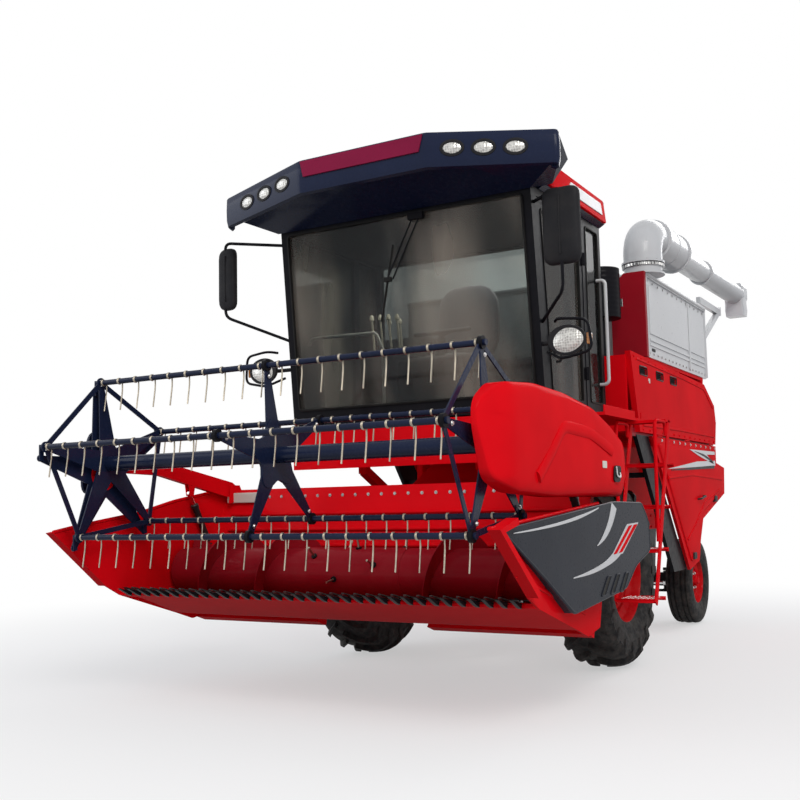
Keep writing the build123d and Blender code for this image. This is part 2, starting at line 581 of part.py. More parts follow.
def reel_cover():
    """The big rounded cover over the left reel arm and its chain drive."""
    outline = [(-2800, 1500), (-2780, 1600), (-2630, 1690), (-2280, 1715), (-1880, 1700), (-1430, 1650),
               (-1150, 1570),
               (-885, 1470), (-860, 1290), (-960, 1150), (-2000, 1150), (-2520, 1175), (-2710, 1235)]
    cover = side_plate(outline, COVER_X0, COVER_X1, radius=38)
    rim = cover.edges().filter_by(lambda e: abs(e.center().X - COVER_X1) < 0.5)
    cover = chamfer(rim, 26)
    cover -= side_plate(COVER_HOLLOW, COVER_X0 - 10, ARM_X + ARM_T / 2 + 8)
    nose = Polyline((COVER_X0 - 10, -2900), (COVER_X0 - 10, -2580), (COVER_X1 - 36, -2812),
                    (COVER_X1 - 36, -2900), close=True)
    cover -= Pos(0, 0, 1000) * extrude(make_face(nose), 900)
    return cover


COVER_HOLLOW = [(-2600, 1330), (-2600, 1500), (-1960, 1500), (-1100, 1360), (-1100, 1100), (-1720, 1100),
                (-1960, 1300)]


def write_reel():
    write("reel_frame", reel_frame())
    one = bat()
    for k, a in enumerate(star_angles()):
        y, z = bat_centre(a)
        write(f"reel_bat_{k + 1}", Pos(0, y, z) * one)
    x = -REEL_HALF_W - 16
    write("eccentric_star", star(x, 7, 124, 100, False, shift=(0, -CRANK)))
    write("reel_arms", reel_arms())
    write("reel_cover", reel_cover())
    pairs = [cylinder_pair(REEL_BASE, REEL_EYE, x, REEL_PIN_R, 22, 11, 320, 250, 2.5, 18)
             for x in (-ARM_X, ARM_X)]
    write("reel_cylinder_barrels", pairs[0][0], pairs[1][0])
    write("reel_cylinder_rods", pairs[0][1], pairs[1][1])


# ------------------------------------------------------------------ feeder house and lift
THROAT_Y = -920.0             # where the feeder house's open throat ends
THROAT_SHEET = 12.0


def feeder_outline():
    top_front, top_rear = head(798, 440), (75, 1479)
    low_front, low_rear = head(798, 50), (225, 1141)
    return [low_front, (low_front[0] + 150, low_front[1] + 20), low_rear, top_rear, top_front]


def throat(shape):
    """The part of a shape that lies in the feeder house's open throat."""
    return shape & block(-500, 500, -1700, THROAT_Y, 300, 1200)


def feeder_cheeks():
    """The throat's two side sheets."""
    w = FEEDER_HALF_W
    return [throat(side_plate(feeder_outline(), *sorted((s * w, s * (w - THROAT_SHEET))))) for s in (-1, 1)]


def feeder_decks():
    """The throat's sloping floor and its roof sheet, between the cheeks."""
    outline, half = feeder_outline(), FEEDER_HALF_W - THROAT_SHEET
    solid = throat(side_plate(outline, -half, half))
    (y0, z0), (y1, z1) = outline[4], outline[3]
    under_roof = side_plate([(y0, z0 - THROAT_SHEET - 1), (y1, z1 - THROAT_SHEET - 1), (y1, 0),
                             (y0 - 400, 0),
                             (y0 - 400, z0 - 205)], -half - 1, half + 1)
    above_floor = side_plate([head(780, 66), (THROAT_Y + 1, 638), (THROAT_Y + 1, 1400), (-1700, 1400),
                              (-1700, 372)],
                             -half - 1, half + 1)
    return [solid - above_floor, solid - under_roof]


def feeder_house():
    """The closed duct behind the throat, with its hinge pins and the lift cylinders' lugs."""
    house = side_plate(feeder_outline(), -FEEDER_HALF_W, FEEDER_HALF_W) & block(-500, 500, THROAT_Y, 700,
                                                                                300, 1800)
    y, z = LIFT_PIVOT
    for s in (-1, 1):
        house += cross_pin(y, z, s * 300, s * (FEEDER_HALF_W + 62), FEEDER_PIN_R)
        for x in (s * LIFT_X - 34, s * LIFT_X + 34):
            house += side_plate([(LIFT_EYE[0] - 22, LIFT_EYE[1] - 22), (LIFT_EYE[0] + 22, LIFT_EYE[1] - 22),
                                 (LIFT_EYE[0] + 60, 790), (LIFT_EYE[0] - 60, 730)], x - 5, x + 5)
        house += cross_pin(*LIFT_EYE, s * LIFT_X - 38, s * LIFT_X + 38, LIFT_PIN_R)
    return house


def write_lift():
    write("feeder_house", feeder_house())
    write("feeder_cheeks", *feeder_cheeks())
    write("feeder_decks", *feeder_decks())
    pairs = [cylinder_pair(LIFT_BASE, LIFT_EYE, x, LIFT_PIN_R, 30, 18, 385, 320, 4.5, 40)
             for x in (-LIFT_X, LIFT_X)]
    write("lift_cylinder_barrels", pairs[0][0], pairs[1][0])
    write("lift_cylinder_rods", pairs[0][1], pairs[1][1])


# ------------------------------------------------------------------ body
def body_shell():
    d = TANK_SHOULDER - 30
    shell = block(-BODY_INNER_X, BODY_INNER_X, 300, 2860, RAIL_Z1, 1600)
    shell += block(-BODY_INNER_X, BODY_INNER_X, 860, 2860, 1600, d)
    shell += block(-BODY_X + 50, BODY_X - 50, 860, 2640, d, TANK_SHOULDER)
    for s in (-1, 1):
        x0, x1 = sorted((s * BODY_INNER_X, s * (BODY_X - 42)))
        shell += block(x0, x1, 320, 350, 1630, 2190)
        shell += block(x0, x1, 350, 860, 1630, 1660)
        for y in (860, 1750, 2560):
            shell += block(x0, x1, y, y + 40, 1630, d)
    return shell


UPPER_PANEL = [(320, 2216), (2470, 2160), (2810, 1990), (2850, 1830), (2790, 1630), (480, 1630)]
SLOT_Y, SLOT_Z = (620, 1050, 1440), 2095.0     # the upper panels' three vents
DOOR_PANEL = [(778, 1612), (2788, 1612), (2780, 1460), (3090, 1420), (3050, 1180), (2210, 960), (2090, 780),
              (2020, 610), (1698, 550)]
GUARD_PANEL = [(480, 1612), (768, 1612), (1686, 556), (1330, 556)]
DOOR_HINGE = (BODY_X + 4, 1619.0)      # side doors' hinge line, X and Z
DOOR_T, DOOR_KNUCKLES = 24.0, (960, 1780, 2600)


def write_body():
    write("chassis_frame", chassis_frame())
    write("drive_axle", drive_axle())
    write("body_shell", body_shell())
    for s, name in ((1, "left"), (-1, "right")):
        upper = side_plate(UPPER_PANEL, BODY_X - 42, BODY_X)
        for y in SLOT_Y:
            upper -= block(BODY_X - 30, BODY_X + 1, y - 90, y + 90, SLOT_Z - 28, SLOT_Z + 28)
        door = side_plate(DOOR_PANEL, BODY_X - DOOR_T, BODY_X)
        for y in DOOR_KNUCKLES:
            door += rod((DOOR_HINGE[0], y - 60, DOOR_HINGE[1]), (DOOR_HINGE[0], y + 60, DOOR_HINGE[1]), 6.5)
        if s < 0:
            upper, door = mirrored(upper), mirrored(door)
        write(f"upper_panel_{name}", upper)
        write(f"side_door_{name}", door)
    guard_x = BODY_X - DOOR_T - GAP
    guard = side_plate(GUARD_PANEL, guard_x - 30, guard_x)
    stay = block(BODY_INNER_X, guard_x - 30, 760, 800, 1300, 1340)
    write("mudguards", guard + stay, mirrored(guard + stay))


# ------------------------------------------------------------------ grain tank and unloading
def grain_tank():
    x, y0, y1, z0, z1 = TANK_X, TANK_Y0, TANK_Y1, TANK_SHOULDER, TANK_TOP
    wall = 6
    tank = (block(-x, x, y0, y1, z0, z1)
            - block(-x + wall, x - wall, y0 + wall, y1 - wall, z0 + wall, z1 + 50))
    rim = 30
    tank += (block(-x - rim / 2, x + rim / 2, y0 - 15, y1 + 15, z1 - rim, z1)
             - block(-x + wall, x - wall, y0 + wall, y1 - wall, z0, z1 + 50))
    tank += block(RISER_X - 170, x, y0, RISER_Y + 170, z0, z1)
    tank += side_plate([(y1, 2560), (y1, 2620), (3560, 3050), (3560, 2990)], x - 60, x - 20)
    tank += block(x - 60, x - 20, y1, 3560, 2960, 3020)
    seam = y0 + 0.68 * (y1 - y0)
    for s in (-1, 1):
        for start, end in ((y0 + 70, seam - 30), (seam + 30, y1 - 50)):
            tank += block(s * x, s * (x + EMBOSS), start, end, z0 + 190, z1 - 90)
        for z in (z0 + 95, z0 + 135):
            tank += block(s * x, s * (x + EMBOSS), y0 + 70, y1 - 50, z, z + 20)
    return tank


def tank_front_panel():
    """The wall in front of the tank's left half, its upper inner corner cut away, on a flange to the tank."""
    y = TANK_Y0 - 90
    outline = [(810, 2175), (1050, 2175), (1050, 2230), (1082, 2230), (1082, TANK_TOP), (920, TANK_TOP),
               (810, TANK_TOP - 110)]
    wall = extrude(make_face(Polyline(*[(px, y, pz) for px, pz in outline], close=True)), amount=44,
                   dir=(0, 1, 0))
    return wall + block(830, 860, y + 44, TANK_Y0, 2300, TANK_TOP - 120)


def write_tank():
    write("tank_front_panel", tank_front_panel())
    riser = Pos(RISER_X, RISER_Y, (TANK_TOP + RISER_TOP) / 2) * Cylinder(RISER_R, RISER_TOP - TANK_TOP)
    write("grain_tank", grain_tank() + riser)
    write("unloading_auger", unloading_auger())


def unloading_auger():
    """The swinging grain pipe at its own turret: elbow, flanged collar, pipe and downward spout."""
    z0 = RISER_TOP + 1.0
    reach = PIPE_END - RISER_Y - SPOUT_HALF
    path = FilletPolyline((0, 0, z0), (0, 0, PIPE_Z), (0, COLLAR_END, PIPE_Z), radius=ELBOW_BEND)
    arm = sweep(Plane(origin=path @ 0, z_dir=path % 0) * Circle(ELBOW_R), path=path)
    for y in (COLLAR_START, COLLAR_END):
        arm += rod((0, y - 8, PIPE_Z), (0, y + 8, PIPE_Z), ELBOW_R + 20)
    arm += rod((0, COLLAR_START, PIPE_Z), (0, COLLAR_END, PIPE_Z), ELBOW_R + 6)
    arm += rod((0, COLLAR_END, PIPE_Z), (0, reach, PIPE_Z), PIPE_R)
    arm += rod((0, 1700, PIPE_Z), (0, 1716, PIPE_Z), PIPE_R + 16)
    arm += Pos(0, reach, PIPE_Z) * block(-SPOUT_HALF, SPOUT_HALF, -120, SPOUT_HALF, -230, SPOUT_HALF + 4)
    arm -= Pos(0, reach, PIPE_Z) * block(8 - SPOUT_HALF, SPOUT_HALF - 8, -92, SPOUT_HALF - 8, -260, -96)
    return Pos(RISER_X, RISER_Y, 0) * Rot(0, 0, -PIPE_TOE) * arm


# ------------------------------------------------------------------ cab
def cab_frame():
    side = [(CAB_FRONT_LOW, CAB_FLOOR_Z), (CAB_FRONT_TOP, CAB_ROOF_Z), (CAB_REAR, CAB_ROOF_Z),
            (CAB_REAR, CAB_FLOOR_Z)]
    slope = (CAB_FRONT_TOP - CAB_FRONT_LOW) / (CAB_ROOF_Z - CAB_FLOOR_Z)

    def front(z, inset=0.0):
        return (CAB_FRONT_LOW + (z - CAB_FLOOR_Z) * slope + inset, z)
    lo, hi = CAB_FLOOR_Z + 20, CAB_ROOF_Z - 40
    body = side_plate(side, -CAB_X, CAB_X)
    body -= side_plate([front(lo, 45), front(hi, 45), (CAB_REAR - 40, hi), (CAB_REAR - 40, lo)],
                       -CAB_X + 45, CAB_X - 45)
    sill, head_z = CAB_FLOOR_Z + 110, CAB_ROOF_Z - 50
    body -= side_plate([front(sill, -60), front(head_z, -60), front(head_z, 100), front(sill, 100)],
                       -CAB_X + 60, CAB_X - 60)
    body -= side_plate([front(CAB_FLOOR_Z + 30, 80), front(head_z, 80), (-230, head_z),
                        (-230, CAB_FLOOR_Z + 30)],
                       CAB_X - 100, CAB_X + 10)
    body -= side_plate([front(sill, 80), front(head_z, 80), (-230, head_z), (-230, sill)], -CAB_X - 10,
                       -CAB_X + 100)
    for s in (-1, 1):
        body -= side_plate([(-160, sill), (-160, head_z), (90, head_z), (90, sill)], s * (CAB_X - 100),
                           s * (CAB_X + 10))
    body -= block(-CAB_X + 80, CAB_X - 80, CAB_REAR - 60, CAB_REAR + 10, CAB_FLOOR_Z + 500, head_z)
    return body


VISOR = {"A": (470, -1575, 285), "B": (470, -1585, 175), "C": (1245, -1370, 215), "D": (1250, -1335, 90),
         "E": (966, -1145, -30), "G": (1160, -980, 162), "H": (1050, -980, 25), "K": (600, -980, 290),
         "M": (600, -980, 6), "N": (966, -1145, 6)}    # corners: X, Y and height over the cab's roof line
VISOR_FACES = ["A C K", "C G K", "A B D", "A D C", "B E D", "D E H", "C D H", "C H G", "E N H", "N M H"]
VISOR_MIDDLE = ["a A K k", "b B A a", "e E B b", "n N E e", "m M N n", "k K M m"]
ROOF_SECTION = [(-1000, 30), (-1000, 190), (-900, 245), (900, 245), (1000, 190), (1000, 30), (960, 6),
                (-960, 6)]
ROOF_REAR = 160.0


def visor():
    """The roof: a crowned cap behind a deep faceted visor with swept-back wings."""
    points = {n: (x, y, CAB_ROOF_Z + dz) for n, (x, y, dz) in VISOR.items()}
    points.update({n.lower(): (-x, y, z) for n, (x, y, z) in list(points.items())})
    faces = list(VISOR_FACES) + VISOR_MIDDLE
    faces += [" ".join(reversed(f.lower().split())) for f in VISOR_FACES]
    faces += ["K G H M", "m h g k"]
    front = polyhedron(points, faces)
    outline = make_face(Polyline(*[(x, -985, CAB_ROOF_Z + dz) for x, dz in ROOF_SECTION], close=True))
    return front + extrude(outline, amount=ROOF_REAR + 985, dir=(0, 1, 0))


def cab_slope_y(z):
    """The windshield's own plane leans forwards as it rises."""
    rise = (z - CAB_FLOOR_Z) / (CAB_ROOF_Z - CAB_FLOOR_Z)
    return CAB_FRONT_LOW + (CAB_FRONT_TOP - CAB_FRONT_LOW) * rise


def cab_glass():
    """Windshield, right side panes and rear pane, each seated in its own opening."""
    lo, hi = CAB_FLOOR_Z + 110, CAB_ROOF_Z - 50
    x = CAB_X - 60
    front = side_plate([(cab_slope_y(lo) + 12, lo), (cab_slope_y(hi) + 12, hi), (cab_slope_y(hi) + 20, hi),
                        (cab_slope_y(lo) + 20, lo)], -x, x)
    right = side_plate([(cab_slope_y(lo) + 80, lo), (cab_slope_y(hi) + 80, hi), (-230, hi), (-230, lo)],
                       -CAB_X + 12, -CAB_X + 20)
    quarter = block(-CAB_X + 12, -CAB_X + 20, -160, 90, lo, hi)
    rear = block(-CAB_X + 80, CAB_X - 80, CAB_REAR - 20, CAB_REAR - 12, CAB_FLOOR_Z + 500, hi)
    return front, right, quarter, mirrored(quarter), rear


def door_outline(grow):
    lo, hi = CAB_FLOOR_Z + 36, CAB_ROOF_Z - 56
    return [(cab_slope_y(lo) + 86 + grow, lo + grow), (cab_slope_y(hi) + 86 + grow, hi - grow),
            (-236 - grow, hi - grow), (-236 - grow, lo + grow)]


LAMP_SPOTS = (0.22, 0.46, 0.70)  # along a wing, from the visor's middle panel to its tip


def work_lamps():
    """Three oval lamps let into each slanted wing of the visor."""
    a, b, c, d = (Vector(*VISOR[n]) + Vector(0, 0, CAB_ROOF_Z) for n in "ABCD")
    lamps = []
    for t in LAMP_SPOTS:
        top, low = a + (c - a) * t, b + (d - b) * t
        spot = top + (low - top) * 0.5
        out = (c - a).cross(b - a).normalized()
        face = Plane(origin=spot - out * 30, x_dir=(c - a), z_dir=out)
        lamp = extrude(face * Ellipse(58, 36), amount=34)
        lamps += [lamp, mirrored(lamp)]
    return lamps


def write_cab():
    write("cab_frame", cab_frame())
    roof = visor()
    for lamp in work_lamps():
        roof -= lamp
    write("cab_roof", roof)
    write("cab_glass", *cab_glass())
    door = (side_plate(door_outline(0), CAB_X - 40, CAB_X - 4)
            - side_plate(door_outline(60), CAB_X - 60, CAB_X))
    x, y = CAB_DOOR_HINGE
    for z in (CAB_FLOOR_Z + 300, CAB_ROOF_Z - 300):
        door += Pos(x, y, z) * Cylinder(9, 90) + block(CAB_X - 20, x, y - 24, y - 4, z - 40, z + 40)
    write("cab_door_left", door)
    write("door_glass", side_plate(door_outline(60), CAB_X - 26, CAB_X - 18))
    deck = block(-CAB_X, PLATFORM_X, -700, 240, PLATFORM_Z - 20, PLATFORM_Z)
    deck += block(-CAB_X, CAB_X, -1000, -700, PLATFORM_Z - 20, PLATFORM_Z)
    deck += block(-CAB_X, CAB_X, -1000, -990, 1390, PLATFORM_Z)
    deck += block(-CAB_X, CAB_X, -880, -820, PLATFORM_Z - 60, PLATFORM_Z - 20)
    deck += block(-500, 500, -95, -35, PLATFORM_Z - 60, PLATFORM_Z - 20)
    write("platform", deck)
    seat = block(-260, 260, -560, -60, 2080, 2190) + block(-250, 250, -130, -20, 2190, 2760)
    seat += block(-180, 180, -480, -140, CAB_FLOOR_Z + 20, 2080)
    write("operator_seat", seat)
    column = (rod((60, -760, CAB_FLOOR_Z + 30), (60, -640, 2290), 38)
              + block(0, 120, -820, -700, CAB_FLOOR_Z + 20, CAB_FLOOR_Z + 60))
    ring = Pos(60, -628, 2330) * Rot(12, 0, 0) * (wheel_ring(190, 14) + Box(370, 30, 14) + Cylinder(50, 24))
    write("steering_column", column + rod((60, -640, 2280), (60, -628, 2330), 24) + ring)
    console = block(-620, -330, -640, -60, CAB_FLOOR_Z + 20, 2240)
    for x, y in ((-520, -520), (-440, -420), (-540, -300)):
        console += rod((x, y, 2230), (x, y - 30, 2430), 8) + Pos(x, y - 30, 2440) * Cylinder(20, 40)
    write("control_console", console)


# ------------------------------------------------------------------ outside fittings
def mirror_head(x0, x1, z0, z1):
    """A mirror's moulded back: a block with rounded corners and an eased front edge."""
    head_block = block(x0, x1, -1188, -1136, z0, z1)
    head_block = fillet(head_block.edges().filter_by(Axis.Y), 38)
    return chamfer(head_block.faces().sort_by(Axis.Y)[0].edges(), 12)


def write_fittings():
    top = CAB_ROOF_Z - 100
    right_arm = tube_path([(-CAB_X + 10, -1075, top), (-1440, -1160, top + 70), (-1440, -1160, top - 480),
                           (-CAB_X + 10, -1000, top - 690)], 11, 50)
    right_head = mirror_head(-1500, -1350, top - 430, top + 30)
    left_arm = tube_path([(CAB_X - 10, -1075, top), (1165, -1160, top + 40), (1165, -1160, top - 600),
                          (CAB_X - 10, -1000, top - 750)], 11, 50)
    left_head = mirror_head(1045, 1285, top - 440, top + 40)
    cab = block(-CAB_X, CAB_X, -1200, 0, CAB_FLOOR_Z, CAB_ROOF_Z + 100)
    write("mirrors", right_arm + right_head - cab, left_arm + left_head - cab)
    lights = work_lamps()
    for s in (-1, 1):
        x = s * 1150
        lights.append(Pos(x, -1030, 2110) * Rot(90, 0, 0) * Cylinder(85, 120)
                      + rod((s * CAB_X, -1000, 2110), (x, -1000, 2110), 14))
    write("lamps", *lights)
    rungs = []
    x0, x1 = 1170, 1440
    for z, y0 in ((1370, -120), (1090, -240), (810, -340), (500, -460)):
        rungs.append(block(x0, x1, y0, y0 + 240, z - 20, z))
    stile = side_plate([(-470, 470), (-420, 470), (80, 1670), (-10, 1670)], x0, x0 + 10)
    ladder = stile + Pos(x1 - x0 - 10, 0, 0) * stile
    for x in (x0 + 5, x1 - 5):
        ladder += tube_path([(x, -60, 1560), (x, -60, 1650), (x, -300, 1650), (x, -330, 860)], 12, 50)
    grab = tube_path([(CAB_X - 5, 60, 1950), (CAB_X + 60, 60, 1950), (CAB_X + 60, 60, 2700),
                      (CAB_X - 5, 60, 2700)], 12, 40)
    grab -= block(0, CAB_X, 0, 120, 1900, 2800)
    ladder += block(x0, x1, -60, 60, 1650, 1670)
    write("access_ladder", ladder + rungs, grab)


def write_power():
    x0, x1, y0, y1, z0, z1 = -480, 340, 330, 820, 1640, 2280
    engine = (block(x0, x1, y0 + 60, y1 - 60, z0, z1 - 180)
              + block(x0 + 80, x1 - 80, y0 + 130, y1 - 130, z1 - 180, z1 - 60))
    for x in (x0 + 60, x1 - 120):
        engine += block(x, x + 60, y0, y1, z0 - 40, z0)
    write("engine", engine)
    box = block(-1040, -620, 352, 800, 1660, 2500)
    cleaner = Pos(820, 560, 2700) * Cylinder(140, 380) + Pos(820, 560, 2500 - 150) * Cylinder(40, 320) 
    write("cooling_housing", box, cleaner + block(780, 860, 520, 600, 1660, 2200))
    hood = side_plate([(2860, 1990), (3060, 1720), (3110, 1260), (2860, 1020)], -540, 540)
    hood -= side_plate([(2840, 1960), (3044, 1710), (3130, 1220), (3100, 1000), (2840, 1000)], -530, 530)
    write("straw_hood", hood)


def main():
    os.makedirs("parts", exist_ok=True)
    write_wheels()
    write_steering()
    write_header()
    write_reel()
    write_lift()
    write_body()
    write_power()
    write_tank()
    write_cab()
    write_fittings()


main()
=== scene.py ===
# %% [markdown]
# A wheeled combine harvester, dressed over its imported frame.
# The frame holds every carrying piece at its real size, so this file only adds what an engineer leaves
# out of a solid model: paint, rubber tread, glass, padding, bolts, pipes and trim.

import bpy
import json
import numpy as np
from math import cos, pi, radians, sin
from mathutils import Matrix, Vector


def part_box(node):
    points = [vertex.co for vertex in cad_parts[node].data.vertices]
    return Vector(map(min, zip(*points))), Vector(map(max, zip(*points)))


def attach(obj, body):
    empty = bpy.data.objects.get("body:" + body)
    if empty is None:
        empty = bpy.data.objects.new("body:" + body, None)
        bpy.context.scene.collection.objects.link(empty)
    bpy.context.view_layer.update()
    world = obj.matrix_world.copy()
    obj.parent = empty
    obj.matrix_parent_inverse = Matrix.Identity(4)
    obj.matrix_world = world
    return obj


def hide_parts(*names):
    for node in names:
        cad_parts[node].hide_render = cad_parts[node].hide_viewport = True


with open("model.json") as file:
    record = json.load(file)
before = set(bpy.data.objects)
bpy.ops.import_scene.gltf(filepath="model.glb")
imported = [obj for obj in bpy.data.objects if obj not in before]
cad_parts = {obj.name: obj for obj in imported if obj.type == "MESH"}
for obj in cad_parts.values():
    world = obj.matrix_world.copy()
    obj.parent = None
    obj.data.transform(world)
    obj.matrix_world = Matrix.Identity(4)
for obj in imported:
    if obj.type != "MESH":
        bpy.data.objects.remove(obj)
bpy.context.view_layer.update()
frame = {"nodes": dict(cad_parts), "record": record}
NODES = frame["nodes"]
AXLE_Y = sum(corner[1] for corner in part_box("front_rim_left")) / 2


def span(node):
    """Lowest corner, highest corner and middle of a node's box, given from the front axle."""
    low, high = (np.array(corner) - [0.0, AXLE_Y, 0.0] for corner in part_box(node))
    return low, high, (low + high) / 2


print("nodes", len(NODES), "front axle at Y", round(AXLE_Y, 4))

# %% [markdown]
# The camera stands low in front of the machine's left corner, so the header fills the foreground and the
# cab looms over it. The direction is built from its three angles, and a small shift keeps the framing.

# %% camera
CAMERA_AT = np.array([3.376, -6.991 + AXLE_Y, 1.121])
YAW, PITCH, ROLL = radians(30.224), radians(5.55), radians(-1.185)
FOCAL_SHARE = 1035.9 / 800
CENTRE_SHIFT = (0.00555, 0.00708)

forward = np.array([-sin(YAW) * cos(PITCH), cos(YAW) * cos(PITCH), sin(PITCH)])
level = np.array([cos(YAW), sin(YAW), 0.0])
upright = np.cross(level, forward)
right = cos(ROLL) * level + sin(ROLL) * upright
up = -sin(ROLL) * level + cos(ROLL) * upright
camera_data = bpy.data.cameras.new("camera")
camera_data.sensor_width = 36.0
camera_data.lens = 36.0 * FOCAL_SHARE
camera_data.shift_x, camera_data.shift_y = CENTRE_SHIFT
camera_data.clip_end = 200.0
camera = bpy.data.objects.new("camera", camera_data)
camera.matrix_world = Matrix(np.vstack([np.column_stack([right, up, -forward, CAMERA_AT]),
                                        [0, 0, 0, 1]]).tolist())
bpy.context.scene.collection.objects.link(camera)
bpy.context.scene.camera = camera
print("camera lens", round(camera_data.lens, 2), "mm")

# %% [markdown]
# A studio for a machine this size is a pale floor, a bright sky that lights from all sides, and one large
# soft lamp from the front left. Camera rays see plain white, so the outline reads cleanly, while diffuse
# rays see a dimmer grey, so a painted colour renders about as it is written.

# %% stage and light
WHITE = (1.0, 1.0, 1.0, 1.0)


def add_node(tree, kind, values=None, **settings):
    """A shader node with its settings and its input values."""
    node = tree.nodes.new(kind)
    for key, value in settings.items():
        setattr(node, key, value)
    for key, value in (values or {}).items():
        node.inputs[key].default_value = value
    return node


def seen_directly(tree):
    """1 for camera, mirror and glass rays, 0 for the rays that light things."""
    path = add_node(tree, "ShaderNodeLightPath")
    mirror = add_node(tree, "ShaderNodeMath", operation="MAXIMUM")
    both = add_node(tree, "ShaderNodeMath", operation="MAXIMUM")
    tree.links.new(path.outputs["Is Glossy Ray"], mirror.inputs[0])
    tree.links.new(path.outputs["Is Transmission Ray"], mirror.inputs[1])
    tree.links.new(path.outputs["Is Camera Ray"], both.inputs[0])
    tree.links.new(mirror.outputs[0], both.inputs[1])
    return both.outputs[0]


world = bpy.data.worlds.new("studio")
world.use_nodes = True
sky = world.node_tree
sky.nodes.clear()
dim = add_node(sky, "ShaderNodeBackground", {"Color": (0.86, 0.9, 1.0, 1.0), "Strength": 0.42})
plain = add_node(sky, "ShaderNodeBackground", {"Color": WHITE, "Strength": 1.0})
mix = add_node(sky, "ShaderNodeMixShader")
out = add_node(sky, "ShaderNodeOutputWorld")
sky.links.new(seen_directly(sky), mix.inputs[0])
sky.links.new(dim.outputs[0], mix.inputs[1])
sky.links.new(plain.outputs[0], mix.inputs[2])
sky.links.new(mix.outputs[0], out.inputs[0])
bpy.context.scene.world = world
bpy.context.scene.view_settings.view_transform = "Standard"


def lamp(name, place, aim, size, power, colour=(1.0, 1.0, 1.0)):
    """A soft square lamp at place, turned towards aim."""
    light = bpy.data.lights.new(name, "AREA")
    light.size, light.energy, light.color = size, power, colour
    obj = bpy.data.objects.new(name, light)
    obj.location = place
    obj.rotation_euler = Vector(np.subtract(aim, place)).to_track_quat("-Z", "Y").to_euler()
    bpy.context.scene.collection.objects.link(obj)
    return obj


MIDDLE = (0.0, 0.0, 1.4)
lamp("key", (7.5, -9.0, 9.5), MIDDLE, 6.0, 780.0, (1.0, 0.97, 0.93))
lamp("fill", (-9.0, -6.0, 5.0), MIDDLE, 7.0, 260.0, (0.92, 0.96, 1.0))
lamp("rim", (2.0, 10.0, 8.0), MIDDLE, 6.0, 420.0)
lamp("cab", (0.0, -0.45 + AXLE_Y, 3.0), (0.0, -0.45 + AXLE_Y, 2.0), 1.1, 24.0, (1.0, 0.98, 0.94))

FLOOR_SIZE = 120.0
FADE_START, FADE_END = 2.2, 7.5
floor_mesh = bpy.data.meshes.new("floor")
half = FLOOR_SIZE / 2
floor_mesh.from_pydata([(-half, -half, 0), (half, -half, 0), (half, half, 0), (-half, half, 0)], [],
                       [(0, 1, 2, 3)])
floor = bpy.data.objects.new("floor", floor_mesh)
bpy.context.scene.collection.objects.link(floor)
floor_paint = bpy.data.materials.new("floor")
floor_paint.use_nodes = True
ground = floor_paint.node_tree
pale = ground.nodes["Principled BSDF"]
pale.inputs["Base Color"].default_value = (0.82, 0.82, 0.82, 1.0)
pale.inputs["Roughness"].default_value = 0.95
glow = add_node(ground, "ShaderNodeEmission", {"Color": WHITE, "Strength": 1.0})
where = add_node(ground, "ShaderNodeTexCoord")
away = add_node(ground, "ShaderNodeVectorMath", operation="LENGTH")
fade = add_node(ground, "ShaderNodeMapRange",
                {"From Min": FADE_START, "From Max": FADE_END, "To Min": 0.5, "To Max": 1.0})
fade.interpolation_type = "SMOOTHSTEP"
seen = add_node(ground, "ShaderNodeMath", operation="MULTIPLY")
both = add_node(ground, "ShaderNodeMixShader")
ground.links.new(where.outputs["Object"], away.inputs[0])
ground.links.new(away.outputs["Value"], fade.inputs["Value"])
ground.links.new(fade.outputs[0], seen.inputs[0])
ground.links.new(seen_directly(ground), seen.inputs[1])
ground.links.new(seen.outputs[0], both.inputs[0])
ground.links.new(pale.outputs[0], both.inputs[1])
ground.links.new(glow.outputs[0], both.inputs[2])
ground.links.new(both.outputs[0], ground.nodes["Material Output"].inputs["Surface"])
floor.data.materials.append(floor_paint)

# %% [markdown]
# Enamel on sheet steel is never one flat colour: the spray leaves a fine orange peel, large panels are a
# shade apart, and dust settles low down and on faces that look up. Faces that look down also get a painted
# shade, as if in shadow. One function builds that for every paint, and the paints differ only in colour,
# gloss and how much dust they show.

# %% paints
def shader(name):
    """A new material's tree and its main shader."""
    material = bpy.data.materials.new(name)
    material.use_nodes = True
    return material, material.node_tree, material.node_tree.nodes["Principled BSDF"]


def noise(tree, scale, detail=4.0, rough=0.5, stretch=(1.0, 1.0, 1.0)):
    """Noise in metres on Object coordinates, stretched along each axis by its share."""
    place = add_node(tree, "ShaderNodeTexCoord")
    fit = add_node(tree, "ShaderNodeMapping", {"Scale": stretch})
    tree.links.new(place.outputs["Object"], fit.inputs["Vector"])
    out = add_node(tree, "ShaderNodeTexNoise", {"Scale": scale, "Detail": detail, "Roughness": rough})
    tree.links.new(fit.outputs[0], out.inputs["Vector"])
    return out.outputs["Fac"]


def curve(tree, source, low, high, to_low=0.0, to_high=1.0):
    """Source mapped from low..high to the two given values, and held outside them."""
    node = add_node(tree, "ShaderNodeMapRange",
                    {"From Min": low, "From Max": high, "To Min": to_low, "To Max": to_high})
    tree.links.new(source, node.inputs["Value"])
    return node.outputs[0]


def product(tree, first, second, operation="MULTIPLY"):
    """Two values combined by one operation; either may be a number."""
    node = add_node(tree, "ShaderNodeMath", operation=operation)
    for socket, value in zip(node.inputs, (first, second)):
        if isinstance(value, (int, float)):
            socket.default_value = value
        else:
            tree.links.new(value, socket)
    return node.outputs[0]


